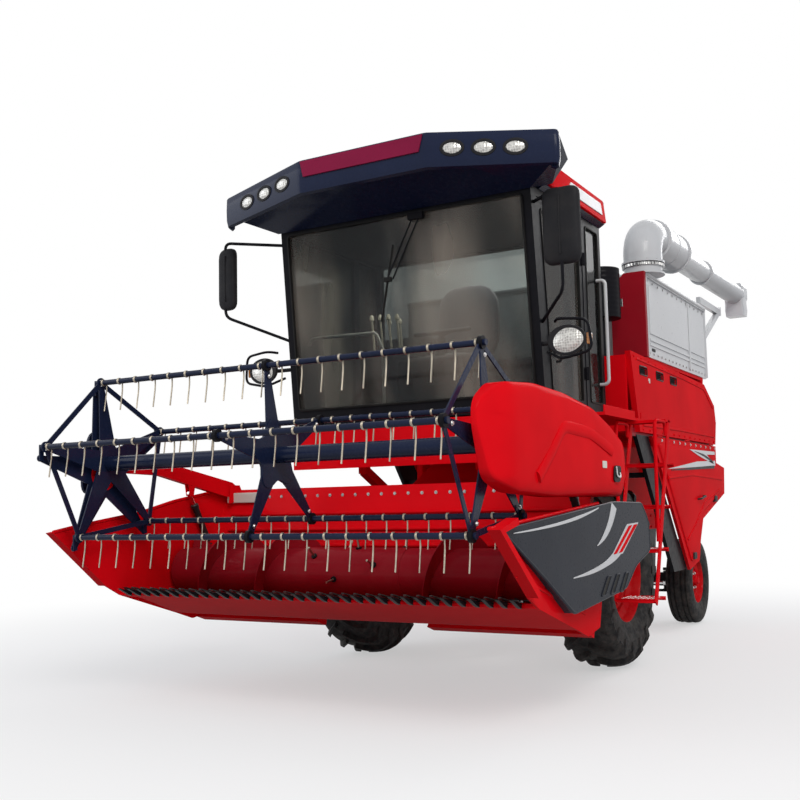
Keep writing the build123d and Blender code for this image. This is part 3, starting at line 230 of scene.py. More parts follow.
def blend_colour(tree, factor, first, second):
    """The first colour, turned to the second by factor."""
    node = add_node(tree, "ShaderNodeMix", data_type="RGBA")
    tree.links.new(factor, node.inputs[0])
    for socket, value in ((node.inputs[6], first), (node.inputs[7], second)):
        if isinstance(value, tuple):
            socket.default_value = (*value, 1.0)
        else:
            tree.links.new(value, socket)
    return node.outputs[2]


def bumped(tree, main, height, strength, distance):
    """Height gives the main shader a bump of that depth in metres."""
    node = add_node(tree, "ShaderNodeBump", {"Strength": strength, "Distance": distance})
    tree.links.new(height, node.inputs["Height"])
    tree.links.new(node.outputs[0], main.inputs["Normal"])


def dust_mask(tree, amount):
    """More dust near the ground and on faces that look up, broken up by noise."""
    place = add_node(tree, "ShaderNodeNewGeometry")
    split = add_node(tree, "ShaderNodeSeparateXYZ")
    facing = add_node(tree, "ShaderNodeSeparateXYZ")
    tree.links.new(place.outputs["Position"], split.inputs[0])
    tree.links.new(place.outputs["Normal"], facing.inputs[0])
    low = curve(tree, split.outputs["Z"], 0.1, 1.1, 1.0, 0.12)
    flat = curve(tree, facing.outputs["Z"], 0.3, 1.0, 0.0, 0.7)
    either = product(tree, low, flat, "MAXIMUM")
    broken = curve(tree, noise(tree, 9.0, 7.0, 0.65), 0.42, 0.72)
    return product(tree, product(tree, either, broken), amount)


DUST = (0.42, 0.36, 0.28)


def paint(name, colour, rough, dust=0.25, coat=0.35, peel=0.03, shade=0.82, sheen=0.1):
    """Sprayed enamel: a slow change of shade, a painted shade darkening faces that look down, an orange peel
    bump and settled dust."""
    material, tree, main = shader(name)
    deep = tuple(shade * c for c in colour)
    slow = curve(tree, noise(tree, 1.7, 3.0), 0.3, 0.7)
    facing = add_node(tree, "ShaderNodeSeparateXYZ")
    tree.links.new(add_node(tree, "ShaderNodeNewGeometry").outputs["Normal"], facing.inputs[0])
    # painted shade: faces that look down are darkened towards 0.28 of the colour, as if they stood in shadow
    underside_painted_shade = curve(tree, facing.outputs["Z"], -0.75, -0.1, 0.62, 0.0)
    dusty = dust_mask(tree, dust)
    tone_and_painted_shade = blend_colour(tree, underside_painted_shade, blend_colour(tree, slow, deep, colour),
                           tuple(0.28 * c for c in colour))
    tree.links.new(blend_colour(tree, dusty, tone_and_painted_shade, DUST), main.inputs["Base Color"])
    scuffed = curve(tree, noise(tree, 26.0, 6.0, 0.7), 0.35, 0.75, rough * 0.8, min(1.0, rough * 1.35))
    tree.links.new(product(tree, scuffed, product(tree, dusty, 0.4), "ADD"), main.inputs["Roughness"])
    bumped(tree, main, noise(tree, 240.0, 2.0), peel, 0.0006)
    main.inputs["Specular IOR Level"].default_value = sheen
    main.inputs["Coat Weight"].default_value = coat
    main.inputs["Coat Roughness"].default_value = 0.1
    return material


RED = paint("red enamel", (0.84, 0.004, 0.010), 0.34, dust=0.015, coat=0.06, sheen=0.0)
RIM_RED = paint("wheel red", (0.66, 0.006, 0.012), 0.34, dust=0.12, coat=0.06, sheen=0.0)
DEEP_RED = paint("deep red", (0.36, 0.010, 0.020), 0.34, dust=0.05, coat=0.06, sheen=0.02)
MAROON = paint("maroon enamel", (0.26, 0.014, 0.055), 0.34, dust=0.02, coat=0.06, sheen=0.02)
NAVY = paint("navy enamel", (0.011, 0.018, 0.050), 0.26, dust=0.03, coat=0.14, sheen=0.06)
BLACK = paint("black enamel", (0.010, 0.010, 0.013), 0.35, dust=0.05, coat=0.05, sheen=0.03)
SILVER = paint("light grey enamel", (0.62, 0.63, 0.64), 0.33, dust=0.18, shade=0.93)
RAM_BLACK = paint("cylinder enamel", (0.02, 0.02, 0.022), 0.3, dust=0.2)
ENGINE = paint("engine casting", (0.09, 0.1, 0.11), 0.55, dust=0.35, coat=0.0, peel=0.6)
CREAM = paint("cream enamel", (0.74, 0.72, 0.64), 0.35, dust=0.1)
print("paints", len(bpy.data.materials))

# %% [markdown]
# Plastic, rubber, glass and bare metal each scatter light their own way. Moulded plastic has a fine grain
# and no coat, rubber is nearly black and dusty in its tread, glass is a thin tinted sheet, and ground
# steel is drawn out along one direction.

# %% plastic, rubber, glass and metal
def moulded(name, colour, rough, grain=420.0, depth=0.35, dust=0.15):
    """Injection-moulded plastic with a fine leather grain."""
    material, tree, main = shader(name)
    slow = curve(tree, noise(tree, 3.0, 4.0), 0.3, 0.7)
    light = tuple(min(1.0, 1.3 * c) for c in colour)
    tree.links.new(blend_colour(tree, dust_mask(tree, dust), blend_colour(tree, slow, colour, light), DUST),
                   main.inputs["Base Color"])
    tree.links.new(curve(tree, noise(tree, 60.0, 5.0), 0.3, 0.7, rough * 0.85, rough * 1.15),
                   main.inputs["Roughness"])
    bumped(tree, main, noise(tree, grain, 3.0), depth, 0.0005)
    main.inputs["Specular IOR Level"].default_value = 0.06
    return material


def rubber(name, colour=(0.014, 0.014, 0.015)):
    """Tyre rubber: dull black, browned by dust where the noise says so."""
    material, tree, main = shader(name)
    dry = curve(tree, noise(tree, 14.0, 8.0, 0.7), 0.4, 0.75, 0.0, 0.38)
    tree.links.new(blend_colour(tree, dry, colour, (0.16, 0.14, 0.12)), main.inputs["Base Color"])
    tree.links.new(curve(tree, noise(tree, 40.0, 4.0), 0.3, 0.7, 0.62, 0.9), main.inputs["Roughness"])
    bumped(tree, main, noise(tree, 180.0, 5.0), 0.4, 0.001)
    main.inputs["Specular IOR Level"].default_value = 0.15
    return material


def glazing(name, tint, rough=0.02):
    """A thin tinted pane: clear glass, a film of dried streaks and dust on it, and a mirror that grows
    where the pane is seen edge-on."""
    material, tree, main = shader(name)
    main.inputs["Base Color"].default_value = (*tint, 1.0)
    main.inputs["Transmission Weight"].default_value = 0.0
    main.inputs["Specular IOR Level"].default_value = 0.6
    hazy = curve(tree, noise(tree, 5.0, 1.5, 0.5), 0.35, 0.8, rough, rough + 0.05)
    tree.links.new(hazy, main.inputs["Roughness"])
    clear = add_node(tree, "ShaderNodeBsdfTransparent", {"Color": (0.80, 0.83, 0.82, 1.0)})
    film = add_node(tree, "ShaderNodeBsdfDiffuse")
    bands = curve(tree, noise(tree, 3.4, 2.5, 0.5, (1.0, 1.0, 0.22)), 0.36, 0.66)
    tree.links.new(blend_colour(tree, bands, (0.06, 0.06, 0.058), (0.66, 0.57, 0.46)), film.inputs["Color"])
    filmed = add_node(tree, "ShaderNodeMixShader")
    tree.links.new(curve(tree, noise(tree, 1.3, 2.0, 0.5, (1.0, 1.0, 0.4)), 0.40, 0.64, 0.04, 0.42),
                   filmed.inputs[0])
    tree.links.new(clear.outputs[0], filmed.inputs[1])
    tree.links.new(film.outputs[0], filmed.inputs[2])
    view = add_node(tree, "ShaderNodeFresnel", {"IOR": 1.5})
    shown = curve(tree, view.outputs[0], 0.0, 1.0, 0.16, 1.0)
    mix = add_node(tree, "ShaderNodeMixShader")
    tree.links.new(shown, mix.inputs[0])
    tree.links.new(filmed.outputs[0], mix.inputs[1])
    tree.links.new(main.outputs[0], mix.inputs[2])
    tree.links.new(mix.outputs[0], tree.nodes["Material Output"].inputs["Surface"])
    return material


def metal(name, colour, rough, drawn=(1.0, 1.0, 1.0), dust=0.15):
    """Bare metal, its roughness drawn out along one axis by grinding or rolling."""
    material, tree, main = shader(name)
    streak = noise(tree, 90.0, 5.0, 0.6, drawn)
    dusty = dust_mask(tree, dust)
    bare = blend_colour(tree, curve(tree, streak, 0.3, 0.7), tuple(0.75 * c for c in colour), colour)
    tree.links.new(blend_colour(tree, dusty, bare, DUST), main.inputs["Base Color"])
    main.inputs["Metallic"].default_value = 1.0
    tree.links.new(curve(tree, streak, 0.3, 0.7, rough * 0.7, rough * 1.3), main.inputs["Roughness"])
    bumped(tree, main, streak, 0.15, 0.0004)
    return material


def cloth(name, colour):
    """Woven seat cloth: two sets of threads crossing as waves, with a soft sheen."""
    material, tree, main = shader(name)
    place = add_node(tree, "ShaderNodeTexCoord")
    warp = add_node(tree, "ShaderNodeTexWave", {"Scale": 130.0, "Distortion": 0.4}, bands_direction="X")
    weft = add_node(tree, "ShaderNodeTexWave", {"Scale": 130.0, "Distortion": 0.4}, bands_direction="Z")
    for wave in (warp, weft):
        tree.links.new(place.outputs["Object"], wave.inputs["Vector"])
    woven = product(tree, warp.outputs["Fac"], weft.outputs["Fac"])
    light = tuple(min(1.0, 1.9 * c) for c in colour)
    tree.links.new(blend_colour(tree, woven, colour, light), main.inputs["Base Color"])
    main.inputs["Roughness"].default_value = 0.9
    main.inputs["Sheen Weight"].default_value = 0.3
    bumped(tree, main, woven, 0.5, 0.0008)
    return material


SHIELD = moulded("shield plastic", (0.018, 0.021, 0.029), 0.3, dust=0.03)
TRIM = moulded("cab plastic", (0.02, 0.02, 0.022), 0.5)
RUBBER = rubber("tyre rubber")
HOSE = moulded("hose rubber", (0.012, 0.012, 0.012), 0.45)
GLASS = glazing("tinted glass", (0.02, 0.024, 0.028))
STEEL = metal("bare steel", (0.6, 0.6, 0.6), 0.3, (0.15, 1.0, 1.0))
TINE_STEEL = metal("spring steel", (0.46, 0.41, 0.33), 0.38)
CHROME = metal("ground chrome", (0.8, 0.8, 0.8), 0.1, (1.0, 0.1, 1.0), dust=0.03)
SEAT_CLOTH = cloth("seat cloth", (0.03, 0.03, 0.034))
print("materials", len(bpy.data.materials))

# %% [markdown]
# Each node of the frame that stays in view takes the paint of what it is on the machine, except that the
# tank's front panel takes deep red as painted shade. The table has one row per paint, so a new paint scheme
# is a change of one line.

# %% paint the frame
PAINTED = {
    RED: ["header_frame", "side_door_left", "side_door_right", "upper_panel_left", "upper_panel_right",
          "feeder_house", "feeder_cheeks", "feeder_decks", "reel_cover", "platform", "chassis_frame",
          "drive_axle", "access_ladder",
          "reel_arms", "straw_hood", "body_shell"],
    RIM_RED: ["front_rim_left", "front_rim_right", "rear_rim_left", "rear_rim_right"],
    # deep red on the tank's front panel is painted shade: the panel is red, darkened as if in shadow
    DEEP_RED: ["header_auger", "tank_front_panel"],
    NAVY: ["cab_roof", "reel_frame", "eccentric_star", "reel_bat_1", "reel_bat_2", "reel_bat_3",
           "reel_bat_4",
           "reel_bat_5"],
    BLACK: ["cab_frame", "cab_door_left", "mirrors", "steering_axle", "knuckle_left", "knuckle_right",
            "tie_rod",
            "cooling_housing", "mudguards"],
    SILVER: ["grain_tank", "unloading_auger"],
    SHIELD: ["divider_shields"],
    RUBBER: ["front_tyre_left", "front_tyre_right", "rear_tyre_left", "rear_tyre_right"],
    GLASS: ["cab_glass", "door_glass"],
    CREAM: ["lamps"],
    RAM_BLACK: ["steering_cylinder_barrel", "lift_cylinder_barrels", "reel_cylinder_barrels",
                "cutter_knife"],
    CHROME: ["steering_cylinder_rod", "lift_cylinder_rods", "reel_cylinder_rods"],
    SEAT_CLOTH: ["operator_seat"],
    TRIM: ["steering_column", "control_console"],
    ENGINE: ["engine"],
}
painted = 0
for material, names in PAINTED.items():
    for name in names:
        NODES[name].data.materials.clear()
        NODES[name].data.materials.append(material)
        painted += 1
print("painted nodes", painted, "of", len(NODES))

# %% [markdown]
# Everything that follows is a surface worked out as arrays: a grid over two parameters, or a profile
# carried along a path. A shape here is a pair of points and groups of faces, so shapes can be joined,
# moved and copied before they ever become a mesh.

# %% shapes as arrays
import bmesh

DIGITS = 5
WELD = 1e-5
ORIGIN = (0, 0, 0)


def quads(rows, cols, wrap_rows=False, wrap_cols=False):
    """Faces of a rows x cols grid: each point joins its next neighbour along both parameters."""
    i, j = np.meshgrid(np.arange(rows - (not wrap_rows)), np.arange(cols - (not wrap_cols)), indexing="ij")
    i, j = i.ravel(), j.ravel()
    below, beside = (i + 1) % rows, (j + 1) % cols
    return np.column_stack([i * cols + j, below * cols + j, below * cols + beside, i * cols + beside])


def capped(rows, cols):
    """Faces of a grid closed round each row, with one more face over the first row and the last."""
    first = np.arange(cols)
    return [quads(rows, cols, False, True), first[None, ::-1], (first + (rows - 1) * cols)[None]]


def joined(*shapes):
    """Several shapes as one: each one's faces count on from the points before it."""
    points, faces, count = [], [], 0
    for some_points, some_faces in shapes:
        points.append(some_points)
        faces += [group + count for group in some_faces]
        count += len(some_points)
    return np.vstack(points), faces


def moved(shape, shift=(0.0, 0.0, 0.0), turn=0.0, axis=0):
    """A shape turned about one axis through the origin, then shifted."""
    points = shape[0] @ turn_matrix(turn, axis).T
    return points + np.asarray(shift), shape[1]


def turn_matrix(angle, axis=0):
    """The rotation by an angle about axis 0, 1 or 2."""
    u, v = (axis + 1) % 3, (axis + 2) % 3
    matrix = np.eye(3)
    matrix[u, u] = matrix[v, v] = cos(angle)
    matrix[v, u], matrix[u, v] = sin(angle), -sin(angle)
    return matrix


def copies(shape, shifts, turns=None):
    """One shape repeated at each shift, and turned there by that copy's matrix if turns are given."""
    points, faces = shape
    shifts = np.atleast_2d(shifts)
    each = points[None] if turns is None else np.einsum("kij,nj->kni", np.asarray(turns), points)
    every = (each + shifts[:, None, :]).reshape(-1, 3)
    steps = np.arange(len(shifts)) * len(points)
    return every, [(group[None] + steps[:, None, None]).reshape(-1, group.shape[1]) for group in faces]


def shifts_along(axis, places):
    """Shifts for copies along one axis, one for each place on it."""
    return np.outer(places, np.eye(3)[axis])


def mirrored(shape):
    """The same shape on the machine's other side."""
    return shape[0] * np.array([-1.0, 1.0, 1.0]), shape[1]


def both_sides(shape):
    """A shape with its mirror image."""
    return joined(shape, mirrored(shape))


def unit(vectors):
    """Vectors of length one."""
    return vectors / np.maximum(np.linalg.norm(vectors, axis=-1, keepdims=True), 1e-12)


def parabolas(starts, pulls, ends, steps):
    """A parabola from each start to its end, drawn towards its pull."""
    t = np.linspace(0, 1, steps)[None, :, None]
    return (1 - t) ** 2 * starts[:, None] + 2 * t * (1 - t) * pulls[:, None] + t ** 2 * ends[:, None]


def bent(corners, radius, steps=7):
    """Straight runs with rounded corners: each corner is a parabola that starts and ends radius away."""
    c = np.asarray(corners, float)
    start = c[1:-1] + radius * unit(c[:-2] - c[1:-1])
    end = c[1:-1] + radius * unit(c[2:] - c[1:-1])
    turns = parabolas(start, c[1:-1], end, steps)
    return np.vstack([c[:1], turns.reshape(-1, 3), c[-1:]])


def sweep(path, section, scale=1.0, wrap=False):
    """A flat section (u, v) carried along a path: it stands across the path, with u kept near the
    direction in which the path as a whole is flattest, and both ends are closed."""
    path, section = np.asarray(path, float), np.asarray(section, float)
    ahead = np.roll(path, -1, 0) - np.roll(path, 1, 0) if wrap else np.gradient(path, axis=0)
    ahead = unit(ahead)
    flat = np.linalg.eigh(np.cov((path - path.mean(0)).T))[1][:, 0]
    across = unit(np.cross(ahead, flat))
    side = np.cross(across, ahead)
    size = np.broadcast_to(np.asarray(scale, float), (len(path),))[:, None, None]
    ring = section[None, :, :1] * side[:, None] + section[None, :, 1:] * across[:, None]
    points = (path[:, None] + size * ring).reshape(-1, 3)
    if wrap:
        return points, [quads(len(path), len(section), True, True)]
    return points, capped(len(path), len(section))


def circle(radius, sides=12, squeeze=1.0):
    """Points round a circle, or round an oval if squeezed."""
    a = np.linspace(0, 2 * pi, sides, endpoint=False)
    return np.column_stack([radius * np.cos(a), radius * squeeze * np.sin(a)])


def tube(path, radius, sides=12, wrap=False):
    """A round bar along a path; radius may change from point to point."""
    return sweep(path, circle(1.0, sides), radius, wrap)


def turned(profile, centre, axis=0, steps=72, closed=False):
    """A profile of (along, radius) pairs swept round an axis through centre."""
    profile = np.asarray(profile, float)
    a = np.linspace(0, 2 * pi, steps, endpoint=False)
    points = np.zeros((steps, len(profile), 3))
    points[..., axis] = profile[None, :, 0]
    points[..., (axis + 1) % 3] = profile[None, :, 1] * np.cos(a)[:, None]
    points[..., (axis + 2) % 3] = profile[None, :, 1] * np.sin(a)[:, None]
    return points.reshape(-1, 3) + np.asarray(centre), [quads(steps, len(profile), True, closed)]


def slab(outline, low, high, axis=0):
    """A flat outline in the plane across an axis, thickened from low to high along it."""
    outline = np.asarray(outline, float)
    points = np.zeros((2, len(outline), 3))
    points[:, :, axis] = np.array([[low], [high]])
    points[:, :, (axis + 1) % 3], points[:, :, (axis + 2) % 3] = outline[:, 0], outline[:, 1]
    return points.reshape(-1, 3), capped(2, len(outline))


def brick(low, high):
    """A box between two opposite corners."""
    (x0, y0, z0), (x1, y1, z1) = low, high
    return slab([(y0, z0), (y1, z0), (y1, z1), (y0, z1)], x0, x1)


def rounded(corners, radius, steps=6):
    """A closed flat outline with rounded corners, as bent() rounds a path's."""
    c = np.asarray(corners, float)
    before, after = np.roll(c, 1, 0), np.roll(c, -1, 0)
    start, end = c + radius * unit(before - c), c + radius * unit(after - c)
    return parabolas(start, c, end, steps).reshape(-1, 2)


def oblong(low, high, radius, steps=6):
    """The rounded outline of a rectangle between two opposite corners."""
    (a0, b0), (a1, b1) = low, high
    return rounded([(a0, b0), (a1, b0), (a1, b1), (a0, b1)], radius, steps)


def at_x(x, flat):
    """A flat (Y, Z) outline or path stood up at one X."""
    return np.column_stack([np.full(len(flat), x), flat])


def flattened(shape, x, share):
    """A shape squeezed towards the plane at X, down to a share of its thickness."""
    return (shape[0] - [x, 0, 0]) * [share, 1, 1] + [x, 0, 0], shape[1]


def crowned(outline, base, height, axis=0, power=2.6, rings=12, middle=None):
    """A cover over an outline: ring s is the outline drawn in towards its middle by s, and its rise is
    height times the quarter curve (1 - (1 - s) ** power) ** (1 / power), steep at the rim, flat inside."""
    outline = np.asarray(outline, float)
    middle = outline.mean(0) if middle is None else np.asarray(middle)
    s = np.concatenate([[0.0, 0.0], 1 - np.cos(np.linspace(0.04, 0.5, rings) * pi)])
    s = np.clip(s, 0, 0.999)
    rise = height * (1 - (1 - s) ** power) ** (1 / power)
    rise[0] = -height * 0.02
    points = np.zeros((len(s), len(outline), 3))
    points[..., axis] = base + rise[:, None]
    flat = middle + (outline[None] - middle) * (1 - s)[:, None, None]
    points[..., (axis + 1) % 3], points[..., (axis + 2) % 3] = flat[..., 0], flat[..., 1]
    return points.reshape(-1, 3), capped(len(s), len(outline))


def piece(name, shape, material, body, smooth=35.0, bevel=0.0, hides=()):
    """A mesh of that shape in the frame's place, riding on a body and standing for the nodes it hides."""
    points, faces = shape
    mesh = bpy.data.meshes.new(name)
    placed = np.round(points + np.array([0.0, AXLE_Y, 0.0]), DIGITS)
    mesh.from_pydata(placed.tolist(), [], [face for group in faces for face in group.tolist()])
    work = bmesh.new()
    work.from_mesh(mesh)
    bmesh.ops.remove_doubles(work, verts=work.verts, dist=WELD)
    bmesh.ops.recalc_face_normals(work, faces=work.faces)
    work.to_mesh(mesh)
    work.free()
    mesh.shade_smooth()
    mesh.set_sharp_from_angle(angle=radians(smooth))
    mesh.materials.append(material)
    obj = bpy.data.objects.new(name, mesh)
    bpy.context.scene.collection.objects.link(obj)
    if bevel:
        edge = obj.modifiers.new("edge", "BEVEL")
        edge.width, edge.segments = bevel, 2
        edge.limit_method, edge.angle_limit = "ANGLE", radians(40)
        edge.harden_normals = True
    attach(obj, body)
    if hides:
        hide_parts(*hides)
    COUNTS[name] = len(mesh.polygons)
    return obj


COUNTS = {}


def pivot(joint):
    """A joint's own place from the record, given from the front axle."""
    for row in frame["record"]["behaviour"]["joints"]:
        if row["name"] == joint:
            return np.array(row["pos_m"]) - np.array([0.0, AXLE_Y, 0.0])


def hexagons(places, axis, radius=0.011, height=0.009, sign=1.0):
    """Hexagon bolt heads with a washer at each place, standing out along an axis."""
    wide, thin = 1.35 * radius, 0.25 * height
    washer = turned([(0, 0), (0, wide), (thin, wide), (thin, 0)], ORIGIN, axis, 12)
    profile = [(0, 0), (0, radius), (0.8 * height, radius), (height, 0.82 * radius), (height, 0)]
    both = joined(washer, turned(profile, ORIGIN, axis, 6))
    if sign < 0:
        flip = np.ones(3)
        flip[axis] = -1
        both = (both[0] * flip, both[1])
    return copies(both, places)


def row(start, end, count):
    """Evenly spaced places from start to end."""
    return np.linspace(start, end, count)


print("reel axis", pivot("reel_spin").round(3), "auger axis", pivot("auger_spin").round(3))

# %% [markdown]
# A drive tyre is a smooth carcass with two rows of slanted bars. The carcass is one profile turned about
# the wheel's axis. A bar starts near the tread's middle, sweeps back as it goes outwards and bends over
# the shoulder, so it is a grid along its length and across its section, copied round the wheel.

# %% drive tyres
LUGS, LUG_STEPS = 19, 9
LUG_SWEEP = 0.34
LUG_DEPTH = 0.038
LUG_START = 0.012
SECTION_TOP, SECTION_FOOT = 0.017, 0.027


def lug_row(radius, half, side, phase):
    """One row of bars. Along u a bar runs outwards from LUG_START to just past the shoulder while its angle
    grows by LUG_SWEEP; its top falls away with the fourth power of x, and its foot stays in the carcass."""
    u = np.linspace(0, 1, LUG_STEPS)[:, None]
    x = LUG_START + (half - 0.004) * u
    top = radius - 0.062 * (x / half) ** 4
    foot = top - LUG_DEPTH - 0.03 - 0.03 * u
    angle = LUG_SWEEP * u ** 1.15
    at_foot, at_top = SECTION_FOOT + 0.01 * u, SECTION_TOP + 0.006 * u
    wide = np.concatenate([at_foot, at_top, -at_top, -at_foot], 1)
    reach = np.concatenate([foot, top, top, foot], 1)
    a = angle + wide / radius
    bar = np.stack([side * np.broadcast_to(x, a.shape), reach * np.cos(a), reach * np.sin(a)], -1)
    turns = np.array([turn_matrix(2 * pi * (k + phase) / LUGS) for k in range(LUGS)])
    return copies((bar.reshape(-1, 3), capped(LUG_STEPS, 4)), np.zeros((LUGS, 3)), turns)


def full_profile(wall):
    """A tyre's half profile, from bead to tread, with its mirror image."""
    wall = np.array(wall)
    return np.vstack([wall, wall[-2::-1] * [-1, 1]])


def tyre_size(node):
    """Half width, outer radius, bead seat radius and middle of a tyre of the frame."""
    low, high, middle = span(node)
    seat = span(node.replace("tyre", "rim"))[1][2] - middle[2]
    return (high[0] - low[0]) / 2, (high[2] - low[2]) / 2, seat, middle


def drive_tyre(node):
    """The turned carcass, its wall with a bead, a bulge, two ribs and a shoulder, and both rows of bars."""
    half, radius, seat, middle = tyre_size(node)
    tread = radius - LUG_DEPTH
    wall = [(0.79 * half, seat + 0.002), (0.86 * half, seat + 0.02), (0.9 * half, seat + 0.05),
            (0.955 * half, 0.66 * radius), (0.99 * half, 0.70 * radius), (half, 0.745 * radius),
            (0.985 * half, 0.79 * radius), (half, 0.80 * radius), (half, 0.815 * radius),
            (0.975 * half, 0.825 * radius), (0.93 * half, tread - 0.05), (0.8 * half, tread - 0.02),
            (0.5 * half, tread - 0.004), (0.0, tread)]
    carcass = turned(full_profile(wall), ORIGIN, 0, 96, closed=True)
    shape = joined(carcass, lug_row(radius, half, 1, 0.0), lug_row(radius, half, -1, 0.5))
    return moved(shape, middle)


for side in ("left", "right"):
    piece(f"drive_tyre_{side}", drive_tyre(f"front_tyre_{side}"), RUBBER, f"front_wheel_{side}", 30,
          hides=[f"front_tyre_{side}"])
print("drive tyre faces", COUNTS["drive_tyre_left"])

# %% [markdown]
# The steered tyres carry straight ribs instead of bars, because they have to hold a line. Ribs and grooves
# are the same all round, so one profile with notches is all it takes.

# %% steered tyres
def ribbed_tyre(node):
    """A turned profile: bead, bulging wall, shoulder and a tread of ribs parted by narrow grooves."""
    half, radius, seat, middle = tyre_size(node)
    wall = [(0.76 * half, seat + 0.002), (0.88 * half, seat + 0.02), (0.97 * half, 0.68 * radius),
            (half, 0.75 * radius), (0.99 * half, 0.80 * radius), (0.95 * half, 0.87 * radius),
            (0.90 * half, 0.945 * radius), (0.82 * half, 0.972 * radius)]
    for edge in (0.66, 0.30):
        wall += [((edge + 0.04) * half, 0.985 * radius), (edge * half, 0.955 * radius),
                 ((edge - 0.08) * half, 0.955 * radius), ((edge - 0.12) * half, 0.993 * radius)]
    return turned(full_profile(wall + [(0.0, radius)]), middle, 0, 84, closed=True)


for side in ("left", "right"):
    piece(f"steered_tyre_{side}", ribbed_tyre(f"rear_tyre_{side}"), RUBBER, f"rear_wheel_{side}", 30,
          hides=[f"rear_tyre_{side}"])
print("steered tyre faces", COUNTS["steered_tyre_left"])

# %% [markdown]
# A rim is a pressed steel ring with a dished disc, bolted to the hub. The ring's bead lips and drop centre
# are one turned profile and the disc, with its raised ring, is another. The nuts and the hub cap finish it.

# %% rims
RIM_SHEET = 0.007


def rim(node, bolts, bolt_circle, hub, nut):
    """A turned closed profile: outer lip, bead seat, drop centre, and the dished disc out to the hub."""
    low, high, middle = span(node)
    radius, half = (high[2] - low[2]) / 2, (high[0] - low[0]) / 2
    side = 1.0 if middle[0] > 0 else -1.0
    ring = np.array([(half, radius + 0.012), (half + 0.002, radius + 0.004), (half - 0.01, radius - 0.002),
                     (0.62 * half, radius - 0.004), (0.45 * half, radius - 0.045),
                     (-0.1 * half, radius - 0.045), (-0.5 * half, radius - 0.004),
                     (-half + 0.01, radius - 0.002), (-half - 0.002, radius + 0.004),
                     (-half, radius + 0.012)])
    inner = ring[::-1].copy()
    inner[:, 1] -= RIM_SHEET
    inner[0, 1], inner[-1, 1] = ring[-1, 1] - 0.004, ring[0, 1] - 0.004
    band = turned(np.vstack([ring, inner]) * [side, 1], middle, 0, 80, closed=True)
    face = 0.56 * half
    dish = np.array([(0.28 * half, radius - 0.046), (0.42 * half, radius - 0.075),
                     (0.30 * half, 0.72 * radius), (0.34 * half, 0.64 * radius),
                     (0.52 * half, 0.56 * radius), (face, 0.46 * radius), (face, hub)])
    back = dish[::-1] - [0.01, 0.0]
    disc = turned(np.vstack([dish, back]) * [side, 1], middle, 0, 80, closed=True)
    crown = np.array([(face - 0.03, hub + 0.001), (face + 0.03, hub), (face + 0.034, 0.8 * hub),
                      (face + 0.05, 0.6 * hub), (face + 0.052, 0.0)])
    cap = turned(crown * [side, 1], middle, 0, 32)
    a = np.linspace(0, 2 * pi, bolts, endpoint=False)
    ring_of_nuts = [np.full(bolts, side * face), bolt_circle * np.cos(a), bolt_circle * np.sin(a)]
    places = middle + np.column_stack(ring_of_nuts)
    return joined(band, disc, cap), hexagons(places, 0, nut, 0.014, side)


# each end's number of bolts, then the radius of the bolt circle, the hub and a nut
WHEELS = (("front", 8, 0.112, 0.078, 0.015), ("rear", 6, 0.072, 0.046, 0.011))
for end, bolts, bolt_circle, hub, nut in WHEELS:
    for side in ("left", "right"):
        node, body = f"{end}_rim_{side}", f"{end}_wheel_{side}"
        pressing, nuts = rim(node, bolts, bolt_circle, hub, nut)
        piece(node + "_pressing", pressing, RIM_RED, body, 40, hides=[node])
        piece(node + "_nuts", nuts, STEEL, body, 30)
print("rim faces", COUNTS["front_rim_left_pressing"])

# %% [markdown]
# The pick-up reel is what the eye goes to first: five thin bars, each with a row of sprung steel fingers
# that keep hanging straight down while the reel turns. A finger is one wire: a coil wound on the bar, then
# a long straight leg with a slight hook. Both are paths, carried round by a small circle.

# %% reel bats and tines
TINES = 20
WIRE, COIL = 0.0042, 0.0185
reel = pivot("reel_spin")
reel_low, reel_high, _ = span("reel_frame")


def tine(length):
    """A wire that turns once and a half round the bar and then runs down: a helix joined to a bent leg."""
    t = np.linspace(0, 1, 15)
    angle = pi * 0.5 + 3.0 * pi * t
    coil = np.column_stack([-0.004 + 0.009 * t, COIL * np.cos(angle), COIL * np.sin(angle)])
    leg = np.array([(0.005, COIL, -0.004), (0.007, 0.018, -0.05), (0.007, 0.012, -0.55 * length),
                    (0.007, 0.0, -length)])
    return joined(tube(coil, 0.7 * WIRE, 6), tube(bent(leg, 0.02, 4), WIRE, 6))


for k in range(1, 6):
    node = f"reel_bat_{k}"
    low, high, _ = span(node)
    _, y, z = pivot(f"bat_{k}_turn")
    bar = tube([(low[0] + 0.02, y, z), (0.0, y, z), (high[0], y, z)], 0.0165, 20)
    crank = brick((low[0] + 0.012, y - 0.014, z - 0.076), (low[0] + 0.022, y + 0.014, z + 0.014))
    crank_pin = tube([(low[0], y, z - 0.062), (low[0] + 0.02, y, z - 0.062)], 0.008, 12)
    piece(f"bat_bar_{k}", joined(bar, crank, crank_pin), NAVY, f"bat_{k}", hides=[node])
    x = np.linspace(-1, 1, TINES) * (high[0] - 0.052)
    places = np.column_stack([x, np.full(TINES, y), np.full(TINES, z)])
    piece(f"bat_tines_{k}", copies(tine(z - low[2]), places), TINE_STEEL, f"bat_{k}", 60)
print("tines", 5 * TINES, "faces a row", COUNTS["bat_tines_1"])

# %% [markdown]
# The stars that hold the bats are flat plate, kept as the frame has them. Each bearing gets a small round
# cap and a clamp bolt, and a scalloped web plate fills the middle of each star.

